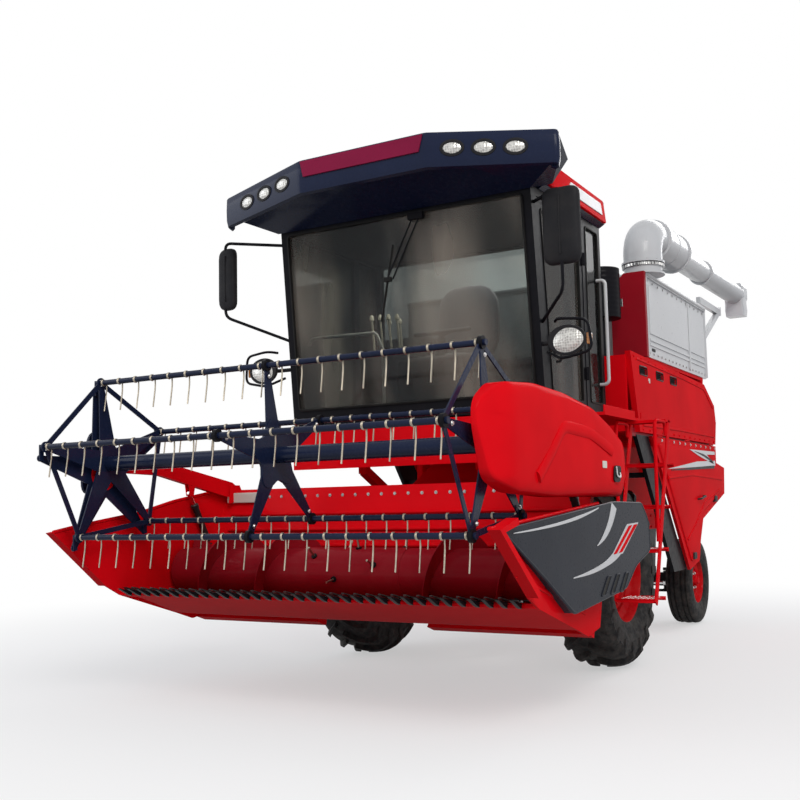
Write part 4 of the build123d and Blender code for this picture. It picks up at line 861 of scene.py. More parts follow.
# %% reel bearings
caps, clamps = [], []
cap_profile = [(-0.011, 0.016), (-0.011, 0.033), (0.011, 0.033), (0.011, 0.016)]
for k in range(1, 6):
    axis = pivot(f"bat_{k}_turn")
    for x in (span("reel_bat_1")[1][0] - 0.026, -0.02):
        caps.append(turned(cap_profile, (x, axis[1], axis[2]), 0, 24, closed=True))
        inwards = unit(reel - axis)
        clamps.append((x + 0.011, axis[1] + 0.06 * inwards[1], axis[2] + 0.06 * inwards[2]))
piece("reel_bearing_caps", joined(*caps), BLACK, "reel")
piece("reel_clamp_bolts", hexagons(np.array(clamps), 0, 0.009, 0.008), STEEL, "reel", 30)
first_bat = np.arctan2(*(pivot("bat_1_turn") - reel)[[2, 1]])
around = np.linspace(0, 2 * pi, 60, endpoint=False)
scallop = 0.168 + 0.03 * np.cos(5 * (around - first_bat))
plate = np.column_stack([reel[1] + scallop * np.cos(around), reel[2] + scallop * np.sin(around)])
star_x = (reel_low[0] + 0.004, -0.02, reel_high[0] - 0.004)
webs = joined(*[slab(plate, x - 0.009, x + 0.009) for x in star_x])
piece("reel_star_webs", webs, NAVY, "reel", bevel=0.002)
print("bearing caps", len(caps), "star webs at", [round(float(x), 3) for x in star_x])

# %% [markdown]
# The auger gathers the crop from both sides to the middle. Each half carries a flight, a helicoid: the
# surface a radius sweeps while it turns and moves along the axis. Between them, fingers stand out of the
# drum to feed the crop on.

# %% auger
auger = pivot("auger_spin")
low, high, _ = span("header_auger")
DRUM, FLIGHT = 0.150, 0.248
FEED = 0.36
TURNS, FLIGHT_STEPS = 2.2, 150
FINGERS = 12
FINGER_ROOT, FINGER_TIP = 0.14, 0.235


def flight(start, end, hand):
    """A helicoid sheet: at t the angle is hand * 2 pi * TURNS * t, the place along the axis runs from start
    to end, and the sheet spans drum to rim, with a thin second face behind it."""
    t = np.linspace(0, 1, FLIGHT_STEPS)[:, None]
    a = hand * 2 * pi * TURNS * t
    root, shoulder = DRUM - 0.004, FLIGHT - 0.004
    section = [(-0.002, root), (-0.002, shoulder), (-0.0035, FLIGHT), (0.0035, FLIGHT), (0.002, shoulder),
               (0.002, root)]
    along, out = np.array(section).T
    x = start + (end - start) * t + along
    points = np.stack([x, auger[1] + out * np.cos(a), auger[2] + out * np.sin(a)], -1)
    return points.reshape(-1, 3), capped(FLIGHT_STEPS, len(section))


shaft_low, shaft_high, stub = low[0], high[0], 0.02
profile = [(shaft_low, 0.0), (shaft_low, 0.04), (shaft_low + stub, 0.04), (shaft_low + stub, DRUM),
           (-FEED, DRUM), (-FEED, DRUM + 0.003), (FEED, DRUM + 0.003), (FEED, DRUM),
           (shaft_high - stub, DRUM), (shaft_high - stub, 0.04), (shaft_high, 0.04), (shaft_high, 0.0)]
drum = turned(profile, (0, auger[1], auger[2]), 0, 64)
flights = joined(flight(-FEED, shaft_low + 0.03, 1), flight(FEED, shaft_high - 0.03, -1))
piece("auger_drum", joined(drum, flights), DEEP_RED, "auger", 40, hides=["header_auger"])
finger_x = np.linspace(-0.30, 0.30, FINGERS)
finger_a = np.arange(FINGERS) * 2 * pi * 0.382
outwards = np.column_stack([0 * finger_a, np.cos(finger_a), np.sin(finger_a)])
roots = np.column_stack([finger_x, np.full((FINGERS, 2), auger[1:])])
fingers = [tube([p + FINGER_ROOT * d, p + FINGER_TIP * d], 0.007, 8) for p, d in zip(roots, outwards)]
guides = [tube([p + 0.146 * d, p + 0.162 * d], 0.018, 12) for p, d in zip(roots, outwards)]
piece("auger_fingers", joined(*fingers), TINE_STEEL, "auger")
piece("auger_finger_guides", joined(*guides), BLACK, "auger")
print("auger faces", COUNTS["auger_drum"])

# %% [markdown]
# The roof's deep visor is kept from the frame. Over its edge goes a moulded fascia: one section, rounded
# at the foot, is carried along the visor's plan, and its height follows the visor's. A maroon plate sits
# on the brow, and three lamps sit in each slanted wing: each is drawn flat once and laid onto the wing.

# %% visor trim and work lamps
ROOF_LINE = span("cab_frame")[1][2]
BROW_TOP = np.array([0.47, -1.575, ROOF_LINE + 0.285])
WING_FOOT, WING_TIP = (0.47, -1.577, 0.287), (1.245, -1.372, 0.215)
LAMP_SHARES = (0.21, 0.45, 0.69)


def laid(shape, origin, along, out):
    """A shape drawn with x along, y across and z out, laid at origin in those directions."""
    along, out = unit(np.asarray(along, float)), unit(np.asarray(out, float))
    return shape[0] @ np.array([along, np.cross(out, along), out]) + np.asarray(origin), shape[1]


def oval_dome(a, b, rise, rings=8, sides=36, foot=0.0):
    """A dome over an oval: at radius share s the height is rise * (1 - s * s), closed at the foot."""
    s = np.linspace(1, 0, rings)[:, None]
    t = np.linspace(0, 2 * pi, sides, endpoint=False)[None]
    points = np.stack([a * s * np.cos(t), b * s * np.sin(t), rise * (1 - s ** 2) + 0 * t], -1)
    base = np.stack([a * np.cos(t), b * np.sin(t), np.full((1, sides), -foot - 0.001)], -1)
    return np.vstack([base.reshape(-1, 3), points.reshape(-1, 3)]), capped(rings + 1, sides)[:2]


def oval_ring(a, b, wide, deep, sides=40):
    """A frame round an oval: a small rounded section carried round it."""
    section = oblong((-wide / 2, -deep / 2), (wide / 2, deep / 2), min(wide, deep) / 3, 3)
    t = np.linspace(0, 2 * pi, sides, endpoint=False)
    return sweep(np.column_stack([a * np.cos(t), b * np.sin(t), 0 * t]), section, wrap=True)


def lens_glass(name, colour=(0.62, 0.61, 0.57)):
    """Pressed lamp glass: small prisms in front of a bright reflector."""
    material, tree, main = shader(name)
    place = add_node(tree, "ShaderNodeTexCoord")
    cells = add_node(tree, "ShaderNodeTexVoronoi", {"Scale": 62.0, "Randomness": 0.35})
    tree.links.new(place.outputs["Object"], cells.inputs["Vector"])
    facet = curve(tree, cells.outputs["Distance"], 0.0, 0.75)
    dull, bright = tuple(0.45 * c for c in colour), tuple(min(1.0, 1.25 * c) for c in colour)
    tree.links.new(blend_colour(tree, facet, dull, bright), main.inputs["Base Color"])
    main.inputs["Metallic"].default_value = 0.35
    tree.links.new(curve(tree, facet, 0.0, 1.0, 0.08, 0.2), main.inputs["Roughness"])
    bumped(tree, main, facet, 0.7, 0.004)
    main.inputs["Coat Weight"].default_value = 1.0
    main.inputs["Coat Roughness"].default_value = 0.03
    return material


LENS = lens_glass("lamp glass")
FASCIA_DEEP = 0.21
half_plan = np.array([WING_FOOT, WING_TIP, (1.235, -1.340, 0.195)])
plan = bent(np.vstack([half_plan[::-1] * [-1, 1, 1], half_plan]), 0.02, 5)
ahead = unit(np.gradient(plan[:, :2], axis=0))
outward = np.column_stack([ahead[:, 1], -ahead[:, 0]])
foot = plan[:, 2] - FASCIA_DEEP - 0.03 * np.clip(1 - np.abs(plan[:, 0]), 0, 1)
section = [(-0.040, 1.0), (0.002, 1.015), (0.010, 0.97), (0.013, 0.6), (0.011, 0.25), (0.002, 0.05),
           (-0.020, 0.0), (-0.045, 0.06), (-0.050, 0.5)]
band = np.zeros((len(plan), len(section), 3))
for k, (offset, share) in enumerate(section):
    band[:, k, :2] = plan[:, :2] + offset * outward
    band[:, k, 2] = ROOF_LINE + foot + share * (plan[:, 2] - foot)
piece("visor_fascia", (band.reshape(-1, 3), capped(len(plan), len(section))), NAVY, "chassis", 50)
wing_start = np.array(WING_FOOT) + [0, 0, ROOF_LINE]
along_wing = np.array(WING_TIP) + [0, 0, ROOF_LINE] - wing_start
off_wing = unit(np.array([along_wing[1], -along_wing[0], -0.06]))
lenses, bezels = [], []
for share in LAMP_SHARES:
    spot = wing_start + along_wing * share + off_wing * 0.014 - [0, 0, 0.1]
    lenses.append(laid(oval_dome(0.060, 0.036, 0.012, foot=0.006), spot, along_wing, off_wing))
    bezels.append(laid(oval_ring(0.067, 0.043, 0.012, 0.018), spot, along_wing, off_wing))
piece("work_lamp_lenses", both_sides(joined(*lenses)), LENS, "chassis")
piece("work_lamp_bezels", both_sides(joined(*bezels)), TRIM, "chassis")

strip_top, strip_low = BROW_TOP + [-0.012, -0.022, -0.006], BROW_TOP + [-0.04, -0.026, -0.115]
other_side = [-1, 1, 1]
strip = np.array([strip_top * other_side, strip_top, strip_low, strip_low * other_side])
piece("brow_strip", (np.vstack([strip, strip + [0, 0.02, 0]]), capped(2, 4)), MAROON, "chassis", bevel=0.003)
print("work lamps", 2 * len(lenses))

# %% [markdown]
# The roof behind the visor is a pressed tray: a red side rail with a pale inset on each flank, and a
# shallow raised panel on top.

# %% roof rails
roof_top = span("cab_roof")[1][2]
above_line = [0, ROOF_LINE]
rail = rounded(np.array([(-0.93, 0.035), (-0.86, 0.19), (0.10, 0.185), (0.155, 0.03)]) + above_line, 0.02)
piece("roof_side_rails", both_sides(slab(rail, 0.985, 1.018)), RED, "chassis", bevel=0.006)
inset = rounded(np.array([(-0.62, 0.07), (-0.57, 0.15), (0.02, 0.15), (0.06, 0.07)]) + above_line, 0.015)
piece("roof_rail_insets", both_sides(slab(inset, 1.012, 1.024)), SILVER, "chassis", bevel=0.003)
tray = oblong((-0.78, -0.80), (0.78, 0.06), 0.08)
raised = crowned(tray, roof_top - 0.052, 0.026, axis=2, power=5, rings=8)
piece("roof_raised_panel", raised, NAVY, "chassis", 60)
print("roof top at", round(roof_top, 3))

# %% [markdown]
# Every pane sits in a black rubber seal. A seal is a small section carried round the opening, just proud of
# the frame, and the windscreen's own edge gives its four corners.

# %% window seals and wipers
SCREEN_LOW, SCREEN_TOP = np.array([-0.985, 1.70]), np.array([-1.125, ROOF_LINE])


def screen_y(z):
    """The windscreen leans forwards as it rises: Y at a height, on a straight line between its two ends."""
    share = (z - SCREEN_LOW[1]) / (SCREEN_TOP[1] - SCREEN_LOW[1])
    return SCREEN_LOW[0] + (SCREEN_TOP[0] - SCREEN_LOW[0]) * share


def seal(corners, wide=0.016, deep=0.014, radius=0.03):
    """A rubber section carried round a closed opening whose corners are rounded."""
    c = np.asarray(corners, float)
    ring = bent(np.vstack([(c[0] + c[-1]) / 2, c, (c[0] + c[-1]) / 2]), radius, 6)[:-1]
    return sweep(ring, oblong((-wide / 2, -deep / 2), (wide / 2, deep / 2), 0.004, 3), wrap=True)


sill, pane_top, pane_x = 1.81, ROOF_LINE - 0.05, 0.90
low_y, top_y = screen_y(sill), screen_y(pane_top)
screen = [(-pane_x, low_y - 0.004, sill), (pane_x, low_y - 0.004, sill),
          (pane_x, top_y - 0.004, pane_top), (-pane_x, top_y - 0.004, pane_top)]
side_x = span("cab_frame")[1][0] - 0.002
right_pane = at_x(-side_x,
                  [(low_y + 0.08, sill), (top_y + 0.08, pane_top), (-0.23, pane_top), (-0.23, sill)])
quarter = at_x(side_x, [(-0.16, sill), (-0.16, pane_top), (0.09, pane_top), (0.09, sill)])
rear_pane = [(-0.88, 0.152, 2.20), (0.88, 0.152, 2.20), (0.88, 0.152, pane_top), (-0.88, 0.152, pane_top)]
seals = joined(seal(screen, 0.02), seal(right_pane), both_sides(seal(quarter)), seal(rear_pane))
piece("window_seals", seals, HOSE, "chassis")
(_, _, door_foot), (door_x, door_back, door_top), _ = span("door_glass")
door_pane = [(screen_y(door_foot) + 0.146, door_foot), (screen_y(door_top) + 0.146, door_top),
             (door_back, door_top), (door_back, door_foot)]
piece("door_seal", seal(at_x(door_x + 0.012, door_pane)), HOSE, "cab_door")


def on_screen(x, z, proud):
    """A point in front of the windscreen by proud."""
    return (x, screen_y(z) - proud, z)


arms = joined(tube([on_screen(0.13, 3.01, 0.035), on_screen(-0.09, 2.64, 0.035)], 0.006, 8),
              tube([on_screen(0.18, 3.01, 0.035), on_screen(-0.05, 2.63, 0.035)], 0.006, 8),
              brick((0.10, screen_y(3.03) - 0.045, 3.0), (0.21, screen_y(3.03) - 0.01, 3.045)))
piece("wiper_arms", arms, BLACK, "chassis")
blade = joined(tube([on_screen(-0.035, 2.86, 0.024), on_screen(-0.165, 2.36, 0.024)], 0.008, 8),
               brick((-0.115, screen_y(2.64) - 0.04, 2.62), (-0.065, screen_y(2.64) - 0.015, 2.65)))
piece("wiper_blade", blade, HOSE, "chassis")
print("seal faces", COUNTS["window_seals"])

# %% [markdown]
# A mirror is a bent bar, a moulded back with a ridge and a clamp, and silvered glass facing the driver. The
# back is crowned: its outline is drawn in towards the middle while it rises.

# %% mirrors
SILVERED = metal("mirror glass", (0.85, 0.87, 0.88), 0.03, dust=0.0)
ARM_TOP = ROOF_LINE - 0.10
HEAD_BACK, HEAD_DEEP = -1.136, 0.05


def facing_front(shape, y):
    """A shape that rises along +Y from zero, made to stand out forwards from a Y."""
    return shape[0] * [1, -1, 1] + [0, y, 0], shape[1]


def mirror(x0, x1, z0, z1, arm):
    """Arm, back shell and glass of one mirror, its glass looking rearwards."""
    outline = oblong((z0, x0), (z1, x1), 0.062)
    shell = facing_front(crowned(outline, 0.0, HEAD_DEEP, axis=1, power=3.4, rings=9), HEAD_BACK - 0.002)
    front = HEAD_BACK - HEAD_DEEP - 0.001
    ridge_line = [(front, z0 + 0.06), (front - 0.001, (z0 + z1) / 2), (front, z1 - 0.06)]
    ridge = tube(at_x((x0 + x1) / 2, ridge_line), 0.006, 8)
    glass_outline = oblong((z0 + 0.014, x0 + 0.014), (z1 - 0.014, x1 - 0.014), 0.05)
    glass = slab(glass_outline, HEAD_BACK - 0.003, HEAD_BACK, axis=1)
    bar_x, bar_y, _ = arm[1]
    clamps = [brick((bar_x - 0.02, bar_y - 0.02, z), (bar_x + 0.02, bar_y + 0.034, z + 0.05))
              for z in (z0 + 0.08, z1 - 0.13)]
    return tube(bent(arm, 0.05), 0.011, 14), joined(shell, ridge, *clamps), glass


cab_x = span("cab_frame")[1][0]
right_arm = [(-cab_x, -1.075, ARM_TOP), (-1.44, -1.16, ARM_TOP + 0.07),
             (-1.44, -1.16, ARM_TOP - 0.48), (-cab_x, -1.0, ARM_TOP - 0.69)]
left_arm = [(cab_x, -1.075, ARM_TOP), (1.165, -1.16, ARM_TOP + 0.04),
            (1.165, -1.16, ARM_TOP - 0.60), (cab_x, -1.0, ARM_TOP - 0.75)]
right_set = mirror(-1.50, -1.35, ARM_TOP - 0.43, ARM_TOP + 0.03, right_arm)
left_set = mirror(1.045, 1.285, ARM_TOP - 0.44, ARM_TOP + 0.04, left_arm)
piece("mirror_bars", joined(right_set[0], left_set[0]), BLACK, "chassis", hides=["mirrors"])
piece("mirror_backs", joined(right_set[1], left_set[1]), TRIM, "chassis")
piece("mirror_glasses", joined(right_set[2], left_set[2]), SILVERED, "chassis")
print("mirror faces", COUNTS["mirror_backs"])

# %% [markdown]
# The road lamps stand on stalks beside the cab. Each has a moulded shell and a pressed glass front, an
# amber turn signal beside it and a bent tube guard in front.

# %% road lamps
def coloured_lens(name, colour):
    """Ribbed signal plastic: a clear coat over a coloured body whose ribs are a fine wave."""
    material, tree, main = shader(name)
    place = add_node(tree, "ShaderNodeTexCoord")
    ribs = add_node(tree, "ShaderNodeTexWave", {"Scale": 34.0, "Distortion": 0.0}, bands_direction="Z")
    tree.links.new(place.outputs["Object"], ribs.inputs["Vector"])
    ribbed = blend_colour(tree, ribs.outputs["Fac"], tuple(0.6 * c for c in colour), colour)
    tree.links.new(ribbed, main.inputs["Base Color"])
    main.inputs["Roughness"].default_value = 0.12
    bumped(tree, main, ribs.outputs["Fac"], 0.5, 0.002)
    main.inputs["Coat Weight"].default_value = 1.0
    return material


AMBER = coloured_lens("amber lens", (0.75, 0.26, 0.02))
TAIL_RED = coloured_lens("tail lens", (0.5, 0.01, 0.01))
LAMP_MID = np.array([1.150, -1.09, 2.105])
shell = laid(oval_dome(0.118, 0.088, -0.115, 10, 40), LAMP_MID, (1, 0.12, 0), (0, -1, 0))
front = oval_dome(0.110, 0.078, 0.022, 8, 40, 0.002)
lens = laid(front, LAMP_MID + [0, -0.001, 0], (1, 0, 0.18), (0.12, -1.0, 0.05))
ring = laid(oval_ring(0.115, 0.085, 0.012, 0.018), LAMP_MID, (1, 0, 0), (0, -1, 0))
stalk = tube([(cab_x, -1.0, 2.11), (1.09, -1.01, 2.11), (1.13, -1.03, 2.11)], 0.014, 12)
turn_lamp = slab(oblong((2.07, 1.272), (2.14, 1.296), 0.008), -1.085, -1.04, axis=1)
guard_corners = [(cab_x + 0.10, -1.04, 2.235), (1.10, -1.115, 2.24), (1.29, -1.10, 2.22),
                 (1.31, -1.09, 2.03), (1.12, -1.105, 1.99), (cab_x + 0.04, -1.03, 2.05)]
guard = tube(bent(guard_corners, 0.05), 0.009, 12)
piece("road_lamp_shells", both_sides(joined(shell, ring, stalk)), TRIM, "chassis", hides=["lamps"])
piece("road_lamp_lenses", both_sides(lens), LENS, "chassis")
piece("turn_lamps", both_sides(turn_lamp), AMBER, "chassis", bevel=0.004)
piece("road_lamp_guards", both_sides(guard), BLACK, "chassis")
print("road lamp faces", COUNTS["road_lamp_shells"])

# %% [markdown]
# Through the tinted glass the driver's place shows: a seat, a wheel on its column, a lever bank and a grab
# bar. A cushion is crowned on all sides, so it is a rounded box: a unit sphere's directions pushed out by a
# high power norm, with sewn channels pressed in across it.

# %% seat
def cushion(low, high, axis, power=3.2, channels=3, press=0.010, rows=40, cols=56):
    """A rounded box. Each direction (a, b) of a sphere is scaled so that |x|^p + |y|^p + |z|^p = 1, then
    stretched to the box; channels press the surface in where cos(channels * pi * place) is near zero."""
    a = np.linspace(0.0, pi, rows)[:, None]
    b = np.linspace(0, 2 * pi, cols, endpoint=False)[None]
    ball = np.stack([np.sin(a) * np.cos(b), np.sin(a) * np.sin(b), np.cos(a) + 0 * b], -1)
    size = (np.abs(ball) ** power).sum(-1, keepdims=True) ** (-1 / power)
    box = ball * size
    seam = np.exp(-((np.cos(channels * pi * box[..., axis] / 1.6)) / 0.16) ** 2)
    low, high = np.asarray(low), np.asarray(high)
    points = (low + high) / 2 + box * ((high - low) / 2 - 0.001 - press * seam[..., None])
    return points.reshape(-1, 3), [quads(rows, cols, False, True)]


seat_low, seat_high, _ = span("operator_seat")
base = cushion((seat_low[0], -0.56, 2.085), (seat_high[0], -0.05, 2.205), 0)
back = cushion((seat_low[0] + 0.012, -0.135, 2.19), (seat_high[0] - 0.012, -0.018, seat_high[2]), 0)
seat = piece("seat_cushions", joined(base, back), SEAT_CLOTH, "chassis", 180, hides=["operator_seat"])
post = tube([(0, -0.3, 1.79), (0, -0.3, 1.95), (0, -0.3, 2.09)], 0.12, 28)
pedestal = joined(brick((-0.18, -0.48, 1.72), (0.18, -0.14, 1.80)), post)
piece("seat_pedestal", pedestal, TRIM, "chassis", bevel=0.006)
print("seat faces", COUNTS["seat_cushions"])

# %% [markdown]
# The steering wheel is a ring with three spokes on a leaning column. The ring is a path round a circle, and
# the column's lean tips it towards the driver.

# %% steering wheel and levers
WHEEL_R, WHEEL_TILT = 0.19, radians(12)
wheel_mid = np.array([0.06, -0.628, 2.33])
t = np.linspace(0, 2 * pi, 56, endpoint=False)
ring = tube(np.column_stack([WHEEL_R * np.cos(t), WHEEL_R * np.sin(t), 0 * t]), 0.0135, 14, wrap=True)
spoke_line = ((0.03, -0.012), (0.11, -0.006), (0.186, 0))
spokes = [tube([(r * cos(a), r * sin(a), z) for r, z in spoke_line], 0.009, 8)
          for a in (radians(90), radians(210), radians(330))]
hub = turned([(-0.03, 0.0), (-0.03, 0.03), (0.0, 0.045), (0.012, 0.035), (0.014, 0.0)], (0, 0, 0), 2, 32)
column = joined(tube([(0.06, -0.76, 1.73), (0.06, -0.70, 2.01), (0.06, -0.645, 2.27)], 0.036, 20),
                tube([(0.06, -0.645, 2.26), (0.06, -0.633, 2.325)], 0.02, 16),
                brick((0.0, -0.82, 1.72), (0.12, -0.70, 1.76)))
wheel = moved(joined(ring, *spokes, hub), wheel_mid, WHEEL_TILT)
piece("steering_wheel", joined(wheel, column), TRIM, "chassis", 40, hides=["steering_column"])
KNOB = paint("cream knob", (0.72, 0.66, 0.50), 0.25, dust=0.0)
CONSOLE_TOP = 2.24
console_low, console_high, _ = span("control_console")
console = brick(console_low + [0, 0.001, 0], (console_high[0], -0.06, CONSOLE_TOP))
piece("console_box", console, TRIM, "chassis", bevel=0.02, hides=["control_console"])
lever_feet = np.array([(-0.56, -0.52), (-0.50, -0.50), (-0.44, -0.48), (-0.38, -0.46), (-0.54, -0.30),
                       (-0.46, -0.28)])
places = np.column_stack([lever_feet, np.full(len(lever_feet), CONSOLE_TOP)])
rod = tube([(0, 0, -0.01), (0, -0.02, 0.15), (0, -0.037, 0.26)], 0.008, 8)
knob = moved(oval_dome(0.017, 0.017, 0.024, 6, 18, 0.018), (0, -0.037, 0.265))
piece("lever_rods", copies(rod, places), KNOB, "chassis", 60)
piece("lever_knobs", copies(knob, places), KNOB, "chassis")
rail = bent([(-0.86, -0.93, 2.28), (-0.84, -0.93, 2.33), (-0.30, -0.93, 2.32), (-0.245, -0.93, 2.19),
             (-0.245, -0.93, 1.74)], 0.03)
piece("cab_grab_rail", tube(rail, 0.011, 12), CREAM, "chassis")
dash = crowned(oblong((1.74, -0.18), (2.13, 0.30), 0.05), 0.0, 0.10, axis=1, power=4)
piece("dash_pod", facing_front(dash, -0.80), TRIM, "chassis", 50)
print("levers", len(lever_feet))

# %% [markdown]
# Trim that follows a sheet needs one more tool: a ribbon. It is a path drawn flat on the sheet, widened to
# both sides by its own width at each point, and given a little thickness out of the sheet.

# %% ribbons and covers
def ribbon(path, widths, low, high):
    """A strip along a (Y, Z) path. At each point the edges lie half the width away along the normal."""
    path = np.asarray(path, float)
    ahead = unit(np.gradient(path, axis=0))
    normal = np.column_stack([-ahead[:, 1], ahead[:, 0]])
    share = np.linspace(0, 1, len(path))
    half = np.interp(share, np.linspace(0, 1, len(widths)), widths)[:, None] / 2
    edges = path + normal * half, path - normal * half
    points = np.zeros((len(path), 4, 3))
    for k, (edge, x) in enumerate(((0, low), (1, low), (1, high), (0, high))):
        points[:, k] = at_x(x, edges[edge])
    return points.reshape(-1, 3), capped(len(path), 4)


def pressed(outline, skirt, base, top, power=4.0, rings=12):
    """A deep pressing: a straight skirt from one X to another, then the crowned face on top of it."""
    face = crowned(outline, base, top - base, 0, power, rings)
    count = len(outline)
    points = face[0].copy()
    points[:count, 0] = skirt
    return points, face[1]


def bead(path, x, radius=0.008, rise=0.5):
    """A low rounded ridge standing on a sheet at X, drawn along a (Y, Z) path with rounded bends."""
    return flattened(tube(bent(at_x(x, path), 0.06, 6), radius, 10), x, rise)


HEAD_AT = np.array([-2.242, 0.635])
HEAD_U, HEAD_W = np.array([0.9466, -0.3223]), np.array([0.3223, 0.9466])


def on_header(u, w):
    """A place in the header's own level drawing, as (Y, Z) of the pitched header."""
    return HEAD_AT + u * HEAD_U + w * HEAD_W


def header_line(*places):
    """Several of those places, as a flat outline or path."""
    return np.array([on_header(u, w) for u, w in places])


# %% [markdown]
# The drive cover on the reel arm is the largest curved pressing in view. Its outline is rounded at every
# corner, its skirt stands straight off the arm, and its face rises in a quarter curve and then lies nearly
# flat, so the light rolls over the edge as it does on pressed steel.

# %% reel cover
cover_low, cover_high, _ = span("reel_cover")
COVER = [(-2.792, 1.50), (-2.775, 1.60), (-2.63, 1.688), (-2.28, 1.713), (-1.88, 1.698), (-1.43, 1.648),
         (-1.15, 1.568), (-0.89, 1.468), (-0.862, 1.29), (-0.962, 1.152), (-2.00, 1.152), (-2.52, 1.177),
         (-2.705, 1.238)]
outline = rounded(COVER, 0.055, 7)
face_x = cover_high[0]
shell = pressed(outline, cover_low[0], face_x - 0.045, face_x - 0.004, 3.0, 14)
nose_in = np.clip((-2.58 - shell[0][:, 1]) / 0.21, 0, 1)
shell[0][:, 0] -= nose_in * np.clip(shell[0][:, 0] - cover_low[0], 0, 1) * 0.72
ridge_line = [(-2.31, 1.245), (-2.123, 1.376), (-1.95, 1.515), (-1.556, 1.50), (-1.20, 1.415)]
ridge = bead(ridge_line, face_x - 0.0045, 0.034, 0.3)
piece("reel_cover_pressing", joined(shell, ridge), RED, "reel_carrier", 55, hides=["reel_cover"])
hole = rounded([(-1.19, 1.235), (-1.075, 1.235), (-1.05, 1.33), (-1.175, 1.33)], 0.03)
hook_line = np.array([(0, -1.15, 1.325), (0.004, -1.15, 1.27), (0.008, -1.10, 1.262), (0.004, -1.10, 1.29)])
hook = tube(bent(hook_line + [face_x, 0, 0], 0.015), 0.006, 10)
piece("cover_hand_hole", slab(hole, face_x - 0.006, face_x - 0.001), HOSE, "reel_carrier")
piece("cover_hook", hook, STEEL, "reel_carrier")
blank = oblong((-1.375, 1.312), (-1.305, 1.352), 0.006)
piece("cover_blank_tag", slab(blank, face_x - 0.005, face_x - 0.0015), CREAM, "reel_carrier", bevel=0.001)
print("cover faces", COUNTS["reel_cover_pressing"])

# %% [markdown]
# The divider shield beside the header is moulded plastic with painted trim. All its trim is drawn flat and
# then leaned with the shield, because its face flares outwards by a fixed share of Y.

# %% shield trim
SHIELD_FACE, FLARE = 1.412, 0.056


def on_shield(shape):
    """A flat shape leaned onto the shield's flared face."""
    return shape[0] + shifts_along(0, SHIELD_FACE + FLARE * (shape[0][:, 1] + 2.68)), shape[1]


def bow(start, pull, end, steps=16):
    """A parabola from start to end in (Y, Z), drawn towards pull."""
    return parabolas(np.array([start]), np.array([pull]), np.array([end]), steps)[0]


SHIELD_RIM = [(-2.68, 1.0), (-1.34, 1.116), (-0.90, 1.108), (-0.80, 1.0), (-0.79, 0.83), (-1.03, 0.755),
              (-1.20, 0.635), (-1.92, 0.56), (-2.24, 0.753)]
rim = rounded(SHIELD_RIM, 0.035, 5)
roll = sweep(at_x(-0.007, rim), circle(0.009, 10), wrap=True)
piece("shield_rolled_edges", both_sides(on_shield(roll)), SHIELD, "header", 60)
top_line = bow((-2.58, 0.986), (-1.95, 1.01), (-1.57, 1.09))
blade_line = bow((-1.345, 1.10), (-1.42, 0.95), (-1.605, 0.887))
tail_line = bow((-1.27, 0.87), (-1.42, 0.76), (-1.93, 0.738))
halo = rounded([(-1.16, 0.992), (-0.975, 0.999), (-1.245, 0.828), (-1.41, 0.822)], 0.012, 4)
silver = joined(ribbon(top_line, [0.005, 0.014, 0.018, 0.006], 0.0, 0.004),
                ribbon(blade_line, [0.075, 0.055, 0.035, 0.004], 0.0, 0.003),
                slab(halo, 0.0, 0.003),
                ribbon(tail_line, [0.07, 0.05, 0.03, 0.022, 0.005], 0.0, 0.003))
STRIPES = ([(-1.135, 0.983), (-1.085, 0.985), (-1.34, 0.833), (-1.385, 0.831)],
           [(-1.055, 0.986), (-1.000, 0.989), (-1.255, 0.838), (-1.305, 0.835)])
stripe = joined(*[slab(rounded(corners, 0.006, 3), 0.0015, 0.0055) for corners in STRIPES])
piece("shield_silver_trim", both_sides(on_shield(silver)), SILVER, "header", bevel=0.0012)
piece("shield_red_stripes", both_sides(on_shield(stripe)), RED, "header", bevel=0.0012)
slots, lips = [], []
for y, z in ((-1.50, 0.665), (-1.37, 0.667), (-1.235, 0.668)):
    corners = np.array([(-0.070, -0.044), (-0.020, -0.044), (0.070, 0.048), (0.022, 0.048)]) + [y, z]
    slots.append(slab(rounded(corners, 0.011, 4), 0.0, 0.0018))
    ring = rounded((corners - corners.mean(0)) * 1.08 + corners.mean(0), 0.013, 4)
    lips.append(sweep(at_x(0.001, ring), circle(0.0042, 8), wrap=True))
piece("shield_slots", both_sides(on_shield(joined(*slots))), HOSE, "header")
piece("shield_slot_lips", both_sides(on_shield(joined(*lips))), SHIELD, "header", 60)
print("shield trim faces", COUNTS["shield_silver_trim"] + COUNTS["shield_red_stripes"])

# %% [markdown]
# Under the sliding knife stand the guards, forged steel points the blades shear against. Each one is an
# oval section that shrinks to a tip along a slightly drooping line. One guard is copied at an even pitch.

# %% knife guards
PITCH_X, GUARDS = 0.0762, 35


def oval_bar(path, radii, sides, squeeze):
    """An oval bar along a (Y, Z) path at X zero, its size changing from point to point."""
    return sweep(at_x(0.0, path), circle(1.0, sides, squeeze), radii)


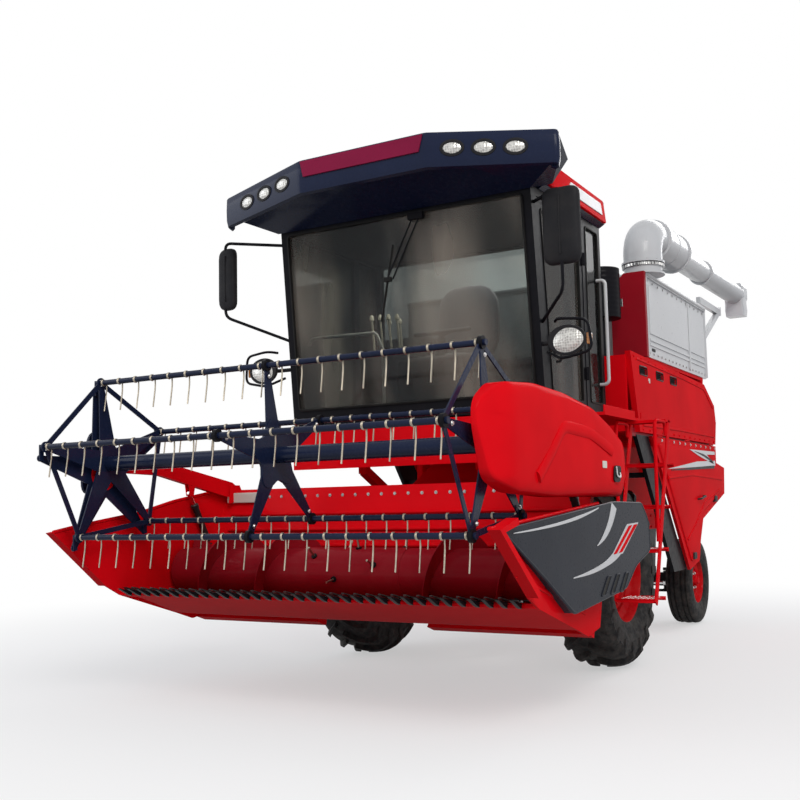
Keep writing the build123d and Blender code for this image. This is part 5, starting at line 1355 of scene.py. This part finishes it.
wedge = header_line((-0.1145, -0.0142), (-0.030, -0.0278), (0.002, -0.0278), (0.002, -0.0042),
                    (-0.0405, -0.0042))
guard_body = slab(wedge, -0.0108, 0.0108)
guard_line = header_line((-0.112, -0.010), (-0.100, -0.012), (-0.070, -0.015), (-0.035, -0.017),
                         (0.0, -0.016), (0.04, -0.014))
guard = oval_bar(guard_line, (0.0015, 0.0045, 0.0065, 0.0085, 0.0095, 0.0095), 10, 0.9)
lip_line = header_line((-0.085, 0.002), (-0.06, 0.009), (-0.02, 0.011), (0.03, 0.011))
upper_lip = oval_bar(lip_line, (0.002, 0.005, 0.006, 0.006), 8, 0.6)
guard_x = (np.arange(GUARDS) - (GUARDS - 1) / 2) * PITCH_X
guards = copies(joined(guard, guard_body, upper_lip), shifts_along(0, guard_x))
piece("knife_guards", guards, BLACK, "header", 60)
clip_y, clip_z = on_header(0.022, 0.013)
clip = brick((-0.014, clip_y - 0.03, clip_z - 0.002), (0.014, clip_y + 0.012, clip_z + 0.008))
clips = copies(clip, shifts_along(0, guard_x[1::3]))
ledger = slab(header_line((-0.006, 0.010), (0.042, 0.010), (0.042, 0.019), (-0.006, 0.017)), -1.362, 1.362)
piece("knife_ledger", ledger, BLACK, "header", bevel=0.002)
piece("knife_clips", clips, STEEL, "header", bevel=0.002)
print("guards", GUARDS)

# %% [markdown]
# The trough behind the knife is bent sheet. Long swages stiffen its back wall, the side walls carry a
# rolled tube along their top edge, and bolt rows show where the sheets meet.

# %% header sheet work
HALF = 1.385
wall_u, swages = 0.779, []
SWAGES = ((0.52, -1.30, 1.30), (0.63, -1.30, 1.30), (0.74, -1.30, 1.30), (0.34, -1.30, -0.46),
          (0.34, 0.46, 1.30))
for w, x0, x1 in SWAGES:
    y, z = on_header(wall_u, w)
    proud = y - 0.003
    line = [(x0, y, z), (x0 + 0.03, proud, z), (0.5 * (x0 + x1), proud, z), (x1 - 0.03, proud, z),
            (x1, y, z)]
    swages.append(tube(line, 0.014, 12))
piece("trough_swages", joined(*swages), RED, "header", 60)
edge_right = [(-0.628, 0.184), (-0.458, 0.275), (-0.009, 0.499), (0.277, 0.675), (0.755, 0.925)]
edge_left = [(-0.628, 0.184), (-0.458, 0.252), (0.40, 0.615), (0.699, 0.742)]
rolls = []
for x, edge in ((-HALF - 0.006, edge_right), (HALF + 0.006, edge_left)):
    rolls.append(tube(bent(at_x(x, header_line(*edge)), 0.05), 0.0115, 12))
piece("wall_rolled_edges", joined(*rolls), RED, "header", 60)
bolt_rows = [(x, *on_header(wall_u - 0.004, w)) for w in (0.455, 0.865) for x in row(-1.30, 1.30, 27)]
sheet_bolts = np.array(bolt_rows)
piece("trough_bolts", hexagons(sheet_bolts, 1, 0.008, 0.007, -1.0), STEEL, "header", 30)
floor_bolts = np.array([(x, *on_header(0.03, 0.003)) for x in row(-1.35, 1.35, 37)])
piece("knife_bar_bolts", hexagons(floor_bolts, 2, 0.008, 0.007), STEEL, "header", 30)
block_low, block_high = (-1.353, -1.262, 1.166), (-1.087, -1.213, 1.237)
piece("header_marker_block", brick(block_low, block_high), CREAM, "header", bevel=0.006)
side_ribs, wall_x = [], HALF + 0.012
for start, end in (((-0.30, 0.06), (0.62, 0.10)), ((-0.20, 0.16), (0.66, 0.36))):
    first, last = header_line(start, end)
    rib = tube(at_x(wall_x, [first, (first + last) / 2, last]), 0.012, 10)
    side_ribs.append(flattened(rib, wall_x, 0.55))
piece("side_wall_ribs", both_sides(joined(*side_ribs)), RED, "header", 60)
print("trough bolts", len(sheet_bolts) + len(floor_bolts))

# %% [markdown]
# The big lift-up door on each side is pressed sheet: a raised field with soft edges, two long swages and a
# painted arrow. Latches at its lower edge hold it shut. All of it rides on the door, so it opens with it.

# %% side doors
DOOR_FACE = 1.100
FIELD = [(0.90, 1.565), (2.70, 1.565), (2.69, 1.44), (2.99, 1.385), (2.96, 1.215), (2.16, 1.015),
         (2.03, 0.83), (1.955, 0.66), (1.74, 0.605)]
field = crowned(rounded(FIELD, 0.05, 6), DOOR_FACE - 0.001, 0.019, 0, 5.0, 12)
swage_a = bead([(1.12, 1.30), (1.83, 1.335), (2.90, 1.31)], DOOR_FACE + 0.017, 0.012, 0.6)
swage_b = bead([(1.62, 0.80), (1.90, 0.93), (2.20, 1.10), (2.80, 1.22)], DOOR_FACE + 0.017, 0.010, 0.6)
field_face = DOOR_FACE + 0.0178
SPEARS = ([(1.095, 1.369), (2.66, 1.43), (2.66, 1.475), (2.02, 1.452)],
          [(1.788, 1.548), (2.66, 1.558), (2.66, 1.53), (2.36, 1.522), (2.63, 1.44), (2.10, 1.50)])
arrow = joined(*[slab(spear, field_face - 0.002, field_face + 0.0015) for spear in SPEARS])
SHADES = (([(1.20, 1.362), (1.75, 1.384), (2.20, 1.402), (2.62, 1.418)], [0.004, 0.018, 0.022, 0.026]),
          ([(1.95, 1.537), (2.25, 1.512), (2.45, 1.483), (2.60, 1.462)], [0.003, 0.02, 0.022, 0.006]))
shades = joined(*[ribbon(path, widths, field_face - 0.001, field_face + 0.0028) for path, widths in SHADES])
latches = []
for y, z in ((1.80, 0.66), (2.62, 1.13)):
    outline = oblong((y - 0.045, z - 0.028), (y + 0.045, z + 0.028), 0.014)
    latches.append(slab(outline, DOOR_FACE - 0.004, DOOR_FACE + 0.026))
pull_line = np.array([(0, 1.98, 1.13), (0.045, 1.98, 1.13), (0.045, 2.16, 1.155), (0, 2.16, 1.155)])
pull = tube(bent(pull_line + [DOOR_FACE, 0, 0], 0.02), 0.008, 12)
screws = hexagons(np.array([(DOOR_FACE, y, 1.59) for y in row(0.86, 2.74, 12)]), 0, 0.009, 0.007)
DOOR_TRIM = (("field", joined(field, swage_a, swage_b), RED, 50, 0.0), ("arrow", arrow, SILVER, 35, 0.0),
             ("arrow_shade", shades, BLACK, 35, 0.0), ("latches", joined(*latches, pull), TRIM, 35, 0.003),
             ("hinge_screws", screws, STEEL, 35, 0.0))
for side in ("l", "r"):
    for name, shape, material, smooth, bevel in DOOR_TRIM:
        shape = mirrored(shape) if side == "r" else shape
        piece(f"door_{name}_{side}", shape, material, f"side_door_{side}", smooth, bevel)
print("door field faces", COUNTS["door_field_l"])

# %% [markdown]
# Above the doors a fixed panel closes the tank's foot. Its three vents get louvred inserts, and one swage
# runs along its lower edge and another along its upper one.

# %% upper panels
PANEL_FACE = 1.1005
louvres, frames = [], []
for y in (0.62, 1.05, 1.44):
    frames.append(slab(oblong((y - 0.088, 2.069), (y + 0.088, 2.121), 0.012), 1.069, 1.073))
    ring = oblong((y - 0.094, 2.063), (y + 0.094, 2.127), 0.016)
    frames.append(sweep(at_x(PANEL_FACE, ring), circle(0.005, 8), wrap=True))
    for z in (2.078, 2.094, 2.110):
        blade = [(z - 0.006, 1.074), (z + 0.002, 1.097), (z + 0.004, 1.097), (z - 0.004, 1.074)]
        louvres.append(slab(blade, y - 0.086, y + 0.086, axis=1))
piece("vent_frames", both_sides(joined(*frames)), HOSE, "chassis")
piece("vent_louvres", both_sides(joined(*louvres)), TRIM, "chassis")
low_swage = bead([(0.56, 1.685), (1.60, 1.70), (2.74, 1.70)], PANEL_FACE, 0.012, 0.6)
tail_swage = bead([(0.46, 2.17), (1.70, 2.145), (2.44, 2.115), (2.74, 1.965)], PANEL_FACE, 0.010, 0.6)
piece("upper_panel_swages", both_sides(joined(low_swage, tail_swage)), RED, "chassis", 60)
mark = [(0.74, 2.05), (0.78, 2.05), (0.78, 2.015), (0.755, 2.015), (0.755, 2.03), (0.74, 2.03)]
piece("panel_pale_marks", both_sides(slab(mark, 1.099, 1.103)), CREAM, "chassis")
# a strip closes the seam between door and panel; its deep red is painted shade for the dark gap
piece("panel_seam_strips", both_sides(brick((1.050, 0.40, 1.60), (1.064, 2.79, 1.66))), DEEP_RED, "chassis")
low_bolts = [(1.10, y, 1.652) for y in row(0.56, 2.72, 14)]
high_bolts = [(1.10, y, 2.185 - 0.026 * (y - 0.4)) for y in row(0.40, 2.40, 12)]
panel_bolts = hexagons(np.array(low_bolts + high_bolts), 0, 0.008, 0.006)
piece("upper_panel_bolts", both_sides(panel_bolts), RED, "chassis", 30)
print("louvres", 2 * len(louvres))

# %% [markdown]
# The grain tank gets a rolled rim, rounded corner posts and bolt rows; its pressed panels are in the frame
# already.

# %% tank trim
TANK_X, TANK_FRONT, TANK_REAR, TANK_FOOT, TANK_TOP = 1.060, 0.900, 2.740, 2.240, 2.900
rim = oblong((-TANK_X - 0.012, TANK_FRONT - 0.012), (TANK_X + 0.012, TANK_REAR + 0.012), 0.05, 7)
rolled = sweep(np.column_stack([rim, np.full(len(rim), TANK_TOP - 0.006)]), circle(0.017, 14), wrap=True)
post_heights = (TANK_FOOT + 0.01, (TANK_FOOT + TANK_TOP) / 2, TANK_TOP - 0.02)
posts = [tube([(TANK_X - 0.004, y, z) for z in post_heights], 0.020, 16)
         for y in (TANK_FRONT + 0.006, TANK_REAR - 0.006)]
seam_y = TANK_FRONT + 0.68 * (TANK_REAR - TANK_FRONT)
seam_outline = oblong((seam_y - 0.014, TANK_FOOT + 0.02), (seam_y + 0.014, TANK_TOP - 0.04), 0.006)
seam = slab(seam_outline, TANK_X - 0.002, TANK_X + 0.012)
piece("tank_rim_and_posts", joined(rolled, both_sides(joined(*posts, seam))), SILVER, "chassis", 60)
tank_bolts = [(TANK_X + 0.001, y, z) for z, count in ((TANK_FOOT + 0.035, 17), (TANK_TOP - 0.055, 13))
              for y in row(TANK_FRONT + 0.06, TANK_REAR - 0.06, count)]
piece("tank_bolts", both_sides(hexagons(np.array(tank_bolts), 0, 0.008, 0.007)), STEEL, "chassis", 30)
slot = oblong((TANK_FRONT + 0.115, TANK_FOOT + 0.055), (TANK_FRONT + 0.20, TANK_FOOT + 0.078), 0.008)
piece("tank_slots", both_sides(slab(slot, TANK_X + 0.0005, TANK_X + 0.004)), HOSE, "chassis")
print("tank rim faces", COUNTS["tank_rim_and_posts"])

# %% [markdown]
# The unloading pipe swings on its turret. Its elbow is a path carried round by a circle, and the long pipe
# is one turned profile whose radius steps down past the collar. Flanges, straps and a boot finish it.

# %% unloading pipe
turret = pivot("unloader_swing")
PIPE_Z, TOE = 3.240, radians(-1.4)
BEND, PIPE_R, REACH = 0.175, 0.100, 3.02
BASE_Z, COLLAR_BOLTS = 2.991, 12


def aimed(shape):
    """A shape drawn round the turret's own upright axis, put in place and toed outwards."""
    return moved(shape, (turret[0], turret[1], 0.0), TOE, 2)


a = np.linspace(0, pi / 2, 22)
elbow = np.column_stack([0 * a, BEND - BEND * np.cos(a), PIPE_Z - BEND + BEND * np.sin(a)])
line = np.vstack([[(0, 0, BASE_Z)], elbow, [(0, 0.24, PIPE_Z), (0, 0.80, PIPE_Z)]])
bend = tube(line, 0.1515, 40)
PIPE_PROFILE = [(0.235, 0.0), (0.235, 0.171), (0.248, 0.171), (0.25, 0.158), (0.52, 0.158), (0.523, 0.162),
                (0.535, 0.162), (0.538, 0.158), (0.79, 0.158), (0.792, 0.171), (0.806, 0.171),
                (0.808, 0.150), (0.86, 0.112), (0.90, PIPE_R), (1.70, PIPE_R), (1.70, 0.115),
                (1.716, 0.115), (1.716, PIPE_R), (REACH - 0.10, PIPE_R), (REACH - 0.09, 0.104),
                (REACH - 0.06, 0.104), (REACH - 0.05, 0.0)]
collar = turned(PIPE_PROFILE, (0, 0, PIPE_Z), 1, 44)
flange_top = BASE_Z + 0.014
flange = turned([(BASE_Z, 0.0), (BASE_Z, 0.168), (flange_top, 0.168), (flange_top, 0.150)], ORIGIN, 2, 44)
hood_outline = oblong((PIPE_Z - 0.06, -0.096), (PIPE_Z + 0.102, 0.096), 0.035)
hood = slab(hood_outline, REACH - 0.12, REACH + 0.10, axis=1)
pipe = aimed(joined(bend, collar, flange, hood))
piece("unloader_pipe", pipe, SILVER, "unloader", 40, hides=["unloading_auger"])
boot_path = np.array([(-0.01, -0.03), (-0.006, -0.10), (0.0, -0.16), (0.002, -0.226)]) + [REACH, PIPE_Z]
boot = sweep(at_x(0.0, boot_path), oblong((-0.098, -0.098), (0.098, 0.098), 0.03), (0.97, 0.94, 0.98, 0.92))
piece("unloader_boot", aimed(boot), SILVER, "unloader", 40)
around = np.linspace(0, 2 * pi, COLLAR_BOLTS, endpoint=False)
ring = np.column_stack([np.cos(around), 0 * around, np.sin(around)])
flange_bolts = np.concatenate([0.164 * ring + [0, y, PIPE_Z] for y in (0.248, 0.806)])
base_bolts = 0.160 * ring[:, [0, 2, 1]] + [0, 0, flange_top]
bolts = joined(hexagons(flange_bolts, 1, 0.006, 0.006), hexagons(base_bolts, 2, 0.006, 0.006))
piece("unloader_bolts", aimed(bolts), STEEL, "unloader", 30)
print("unloader faces", COUNTS["unloader_pipe"])

# %% [markdown]
# The turret below it is part of the tank: a flanged drum with a ring gear the swing motor turns.

# %% turret ring
TEETH = 36
around = np.linspace(0, 2 * pi, 4 * TEETH, endpoint=False)
radius = 0.158 + 0.008 * (np.arange(4 * TEETH) % 4 < 2)
gear = slab(np.column_stack([radius * np.cos(around), radius * np.sin(around)]), 2.962, 2.982, axis=2)
profile = [(2.90, 0.146), (2.90, 0.166), (2.915, 0.166), (2.915, 0.148), (2.955, 0.148), (2.955, 0.146)]
drum = turned(profile, ORIGIN, 2, 48, closed=True)
upright_axis = (turret[0], turret[1], 0)
piece("turret_gear", moved(gear, upright_axis), STEEL, "chassis", 30)
piece("turret_flange", moved(drum, upright_axis), SILVER, "chassis", 40)
print("gear teeth", TEETH)

# %% [markdown]
# The ladder has flat stiles, round rails and folded treads. A tread is a shallow tray with a raised grip
# pattern, and one loop makes the tread of each step.

# %% ladder and handrails
STEPS = ((1.370, -0.12), (1.090, -0.24), (0.810, -0.34), (0.500, -0.46))
LADDER_IN, LADDER_OUT = 1.170, 1.440
treads, grips = [], []
for z, y in STEPS:
    x0, x1 = LADDER_IN + 0.004, LADDER_OUT - 0.004
    treads.append(brick((x0, y, z - 0.006), (x1, y + 0.24, z)))
    treads += [brick((x0, edge, z - 0.022), (x1, edge + 0.006, z + 0.004)) for edge in (y, y + 0.234)]
    gx, gy = np.meshgrid(row(LADDER_IN + 0.04, LADDER_OUT - 0.04, 7), row(y + 0.03, y + 0.21, 6))
    grips.append(np.column_stack([gx.ravel(), gy.ravel(), np.full(gx.size, z)]))
grips = np.vstack(grips)
stile_line = bent(at_x(LADDER_IN + 0.005, [(-0.445, 0.475), (-0.43, 0.50), (0.035, 1.665)]), 0.015)
stile = sweep(stile_line, oblong((-0.005, -0.028), (0.005, 0.028), 0.003, 3))
other = moved(stile, (LADDER_OUT - LADDER_IN - 0.010, 0, 0))
rail_line = [(-0.06, 1.56), (-0.06, 1.65), (-0.30, 1.65), (-0.33, 0.86)]
rails = [tube(bent(at_x(x, rail_line), 0.05), 0.012, 14) for x in (LADDER_IN + 0.005, LADDER_OUT - 0.005)]
grab = tube(bent([(0.955, 0.06, 1.95), (1.02, 0.06, 1.95), (1.02, 0.06, 2.70), (0.955, 0.06, 2.70)], 0.04),
            0.012, 14)
landing = brick((LADDER_IN, -0.06, 1.65), (LADDER_OUT, 0.06, 1.67))
piece("ladder_treads", joined(stile, other, landing, *treads), RED, "chassis", bevel=0.002,
      hides=["access_ladder"])
grip = turned([(0.0, 0.0), (0.0, 0.008), (0.003, 0.006), (0.003, 0.0)], ORIGIN, 2, 8)
piece("ladder_grips", copies(grip, grips), STEEL, "chassis", 30)
piece("ladder_rails", joined(*rails), RED, "chassis", 60)
piece("cab_grab_bar", grab, SILVER, "chassis", 60)
print("grips", len(grips))

# %% [markdown]
# The platform's deck is chequer plate: short raised bars in a basket pattern, turned a quarter turn from
# one to the next. All the bars are one small dome copied by a single shift array.

# %% chequer plate
bar = oval_dome(0.017, 0.0045, 0.0022, 3, 8)
DECK_PITCH = 0.036
gx, gy = np.meshgrid(np.arange(0.985, 1.225, DECK_PITCH), np.arange(-0.675, 0.225, DECK_PITCH))
places = np.column_stack([gx.ravel(), gy.ravel(), np.full(gx.size, 1.6905)])
odd = (np.indices(gx.shape).sum(0) % 2).ravel()
turns = np.array([turn_matrix(radians(45 if k else -45), 2) for k in odd])
piece("deck_chequer", copies(bar, places, turns), STEEL, "chassis", 40)
kick = joined(brick((1.228, -0.70, 1.69), (1.236, -0.07, 1.735)),
              brick((1.228, 0.07, 1.69), (1.236, 0.24, 1.735)))
piece("deck_kick_plate", kick, RED, "chassis", bevel=0.002)
print("chequer bars", len(places))

# %% [markdown]
# Behind the cab sit the cooling pack and the air cleaner. Air is drawn through a fine screen, which is a
# frame with a lattice of thin wires laid both ways.

# %% cooling screen and cleaner
def lattice(low, high, x, pitch, wire):
    """Thin wires both ways across a (Y, Z) field at X, each a four-sided bar."""
    ys, zs = np.arange(low[0], high[0], pitch), np.arange(low[1], high[1], pitch)
    up_bar = brick((x - wire, -wire, low[1]), (x + wire, wire, high[1]))
    across_bar = brick((x - wire, low[0], -wire), (x + wire, high[0], wire))
    return joined(copies(up_bar, shifts_along(1, ys)), copies(across_bar, shifts_along(2, zs)))


HOUSING_SIDE = -1.04
field = lattice((0.40, 1.75), (0.755, 2.42), HOUSING_SIDE - 0.004, 0.014, 0.0012)
screen_back = brick((HOUSING_SIDE - 0.003, 0.395, 1.745), (HOUSING_SIDE - 0.0005, 0.76, 2.425))
frame_line = at_x(HOUSING_SIDE - 0.004, oblong((0.385, 1.735), (0.77, 2.435), 0.02))
frame_bar = sweep(frame_line, circle(0.010, 10), wrap=True)
piece("cooling_screen_wires", field, STEEL, "chassis", 30)
piece("cooling_screen_backing", screen_back, HOSE, "chassis")
piece("cooling_screen_frame", frame_bar, BLACK, "chassis", 60)
cleaner_at = np.array([0.82, 0.56, 0.0])
cleaner = [(2.505, 0.0), (2.505, 0.10), (2.512, 0.139)]
for z in row(2.54, 2.84, 9):
    cleaner += [(z, 0.1405), (z + 0.008, 0.1425), (z + 0.016, 0.1405)]
cleaner += [(2.872, 0.139), (2.884, 0.12), (2.889, 0.06), (2.889, 0.0)]
piece("air_cleaner_shell", turned(cleaner, cleaner_at, 2, 48), BLACK, "chassis", 40)
clip_places = [cleaner_at + [0.145 * cos(a), 0.145 * sin(a), 0] for a in (0.4, 2.5, 4.6)]
clips = copies(brick((-0.012, -0.006, 2.60), (0.012, 0.006, 2.66)), clip_places)
piece("air_cleaner_clips", clips, STEEL, "chassis", bevel=0.002)
print("screen wires faces", COUNTS["cooling_screen_wires"])

# %% [markdown]
# The engine block is plain in the frame. From above and behind, covers, a manifold of equal bent pipes and
# a row of bolts make it an engine.

# %% engine dressing
HEAD_X0, HEAD_X1 = -0.40, 0.26
cover_box = crowned(oblong((HEAD_X0, 0.465), (HEAD_X1, 0.685), 0.03), 2.218, 0.055, axis=2, power=4)
fin = brick((-0.003, 0.48, 2.255), (0.003, 0.67, 2.279))
fins = copies(fin, shifts_along(0, row(HEAD_X0 + 0.06, HEAD_X1 - 0.06, 8)))
piece("engine_valve_cover", joined(cover_box, fins), ENGINE, "chassis", 50)
runner = tube(bent([(0, 0.395, 2.02), (0, 0.350, 2.02), (0, 0.345, 1.94), (0.02, 0.35, 1.90)], 0.03), 0.022,
              14)
runners = copies(runner, shifts_along(0, row(HEAD_X0 + 0.02, HEAD_X1 - 0.02, 4)))
manifold = tube([(x, 0.352, 1.90) for x in (HEAD_X0 - 0.04, -0.07, HEAD_X1 + 0.06)], 0.034, 18)
piece("engine_manifold", joined(manifold, runners), STEEL, "chassis", 60)
head_bolts = np.array([(x, y, 2.262) for x in row(HEAD_X0 + 0.05, HEAD_X1 - 0.05, 5)
                       for y in (0.485, 0.665)])
piece("engine_bolts", hexagons(head_bolts, 2, 0.008, 0.008), STEEL, "chassis", 30)
print("manifold faces", COUNTS["engine_manifold"])

# %% [markdown]
# The straw hood closes the tail. Its sheet gets ribs, a rubber curtain in strips hangs in its mouth, and
# lamps sit on both corners.

# %% tail
STRIPS = 9
rib = tube(bent(at_x(0.0, [(2.863, 1.988), (3.063, 1.72), (3.113, 1.26)]), 0.06), 0.009, 10)
piece("hood_ribs", copies(rib, shifts_along(0, row(-0.44, 0.44, 5))), RED, "chassis", 60)
strip = brick((-0.048, 2.885, 0.86), (0.048, 2.891, 1.06))
strips = copies(strip, shifts_along(0, row(-0.46, 0.46, STRIPS)))
piece("straw_curtain", strips, HOSE, "chassis", bevel=0.0015)
TAIL_LAMPS = (("boxes", (0.62, 2.862, 1.40), (0.78, 2.90, 1.50), TRIM),
              ("red", (0.626, 2.898, 1.407), (0.72, 2.912, 1.493), TAIL_RED),
              ("amber", (0.724, 2.898, 1.407), (0.774, 2.912, 1.493), AMBER))
for name, low, high, material in TAIL_LAMPS:
    piece(f"tail_lamp_{name}", both_sides(brick(low, high)), material, "chassis", bevel=0.004)
print("curtain strips", STRIPS)

# %% [markdown]
# Hydraulic power leaves the engine bay through rigid steel lines held by clamps. Each is a bent path laid
# on the sheet that carries it, in pairs, with a nut at each end.

# %% hydraulic lines
def line_pair(corners, apart, radius=0.0065, bend=0.035):
    """Two parallel pipes with a swollen nut at each end."""
    shapes = []
    for k in (0, 1):
        path = bent(np.asarray(corners, float) + k * np.asarray(apart), bend)
        shapes.append(tube(path, radius, 10))
        for end, inner in ((path[0], path[1]), (path[-1], path[-2])):
            way = unit(inner - end)
            shapes.append(tube([end, end + 0.022 * way], 1.7 * radius, 6))
    return joined(*shapes)


feeder = [(0.378, -0.62, 0.93), (0.378, -0.30, 1.07), (0.378, 0.02, 1.20)]
header_run = [(x, *on_header(0.797, 0.60)) for x in (1.30, 0.60, 0.46)]
rail_run = [(0.536, -0.10, 0.93), (0.536, 1.30, 0.93), (0.536, 2.40, 0.93)]
header_pipes = joined(line_pair(feeder, (0, 0.004, 0.024)), line_pair(header_run, (0, 0.006, 0.022)))
piece("header_pipes", header_pipes, STEEL, "header", 60)
piece("rail_pipes", both_sides(line_pair(rail_run, (0, 0, 0.024))), STEEL, "chassis", 60)
clamps = copies(brick((0.529, -0.012, 0.915), (0.545, 0.012, 0.97)), shifts_along(1, row(0.0, 2.3, 7)))
piece("pipe_clamps", both_sides(clamps), BLACK, "chassis", bevel=0.002)
print("pipe faces", COUNTS["header_pipes"] + COUNTS["rail_pipes"])

# %% [markdown]
# Last come the small fastenings: bolt rows and swages on the feeder, bolts along the frame's rails and the
# cab's sill, and the cab door's handle and lock.

# %% fastenings
FEEDER_FACE = 0.3705
feeder_bolts = []
for share in row(0.08, 0.92, 9):
    y = -0.90 + 0.95 * share
    for z in (1.0 + 0.4823 * (y + 0.92) - 0.028, 0.625 + 0.4505 * (y + 0.92) + 0.028):
        feeder_bolts.append((FEEDER_FACE, y, z))
piece("feeder_bolts", both_sides(hexagons(np.array(feeder_bolts), 0, 0.008, 0.007)), RED, "header", 30)
swage_line = np.array([(-0.86, 0.76), (-0.42, 0.965), (0.0, 1.16)])
swages = [bead(swage_line + [0, lift], 0.370, 0.010, 0.6) for lift in (0.0, 0.13)]
piece("feeder_swages", both_sides(joined(*swages)), RED, "header", 60)
rail_bolts = np.array([(0.490, y, z) for y in row(0.30, 2.70, 13) for z in (0.885, 0.985)])
piece("rail_bolts", both_sides(hexagons(rail_bolts, 0, 0.010, 0.008)), RED, "chassis", 30)
cab_low, cab_high, _ = span("cab_frame")
frame_bolts = np.array([(cab_high[0], y, cab_low[2] + 0.03) for y in row(-0.88, 0.10, 8)])
piece("cab_sill_bolts", both_sides(hexagons(frame_bolts, 0, 0.008, 0.006)), BLACK, "chassis", 30)
handle = tube(bent([(0.965, -0.80, 2.02), (1.0, -0.80, 2.02), (1.0, -0.80, 2.20), (0.965, -0.80, 2.20)],
                   0.02), 0.009, 12)
lock = slab(oblong((-0.825, 2.06), (-0.775, 2.16), 0.014), 0.955, 0.972)
piece("cab_door_handle", joined(handle, lock), TRIM, "cab_door", 50)
print("fastenings", len(feeder_bolts) + len(rail_bolts) + len(frame_bolts))
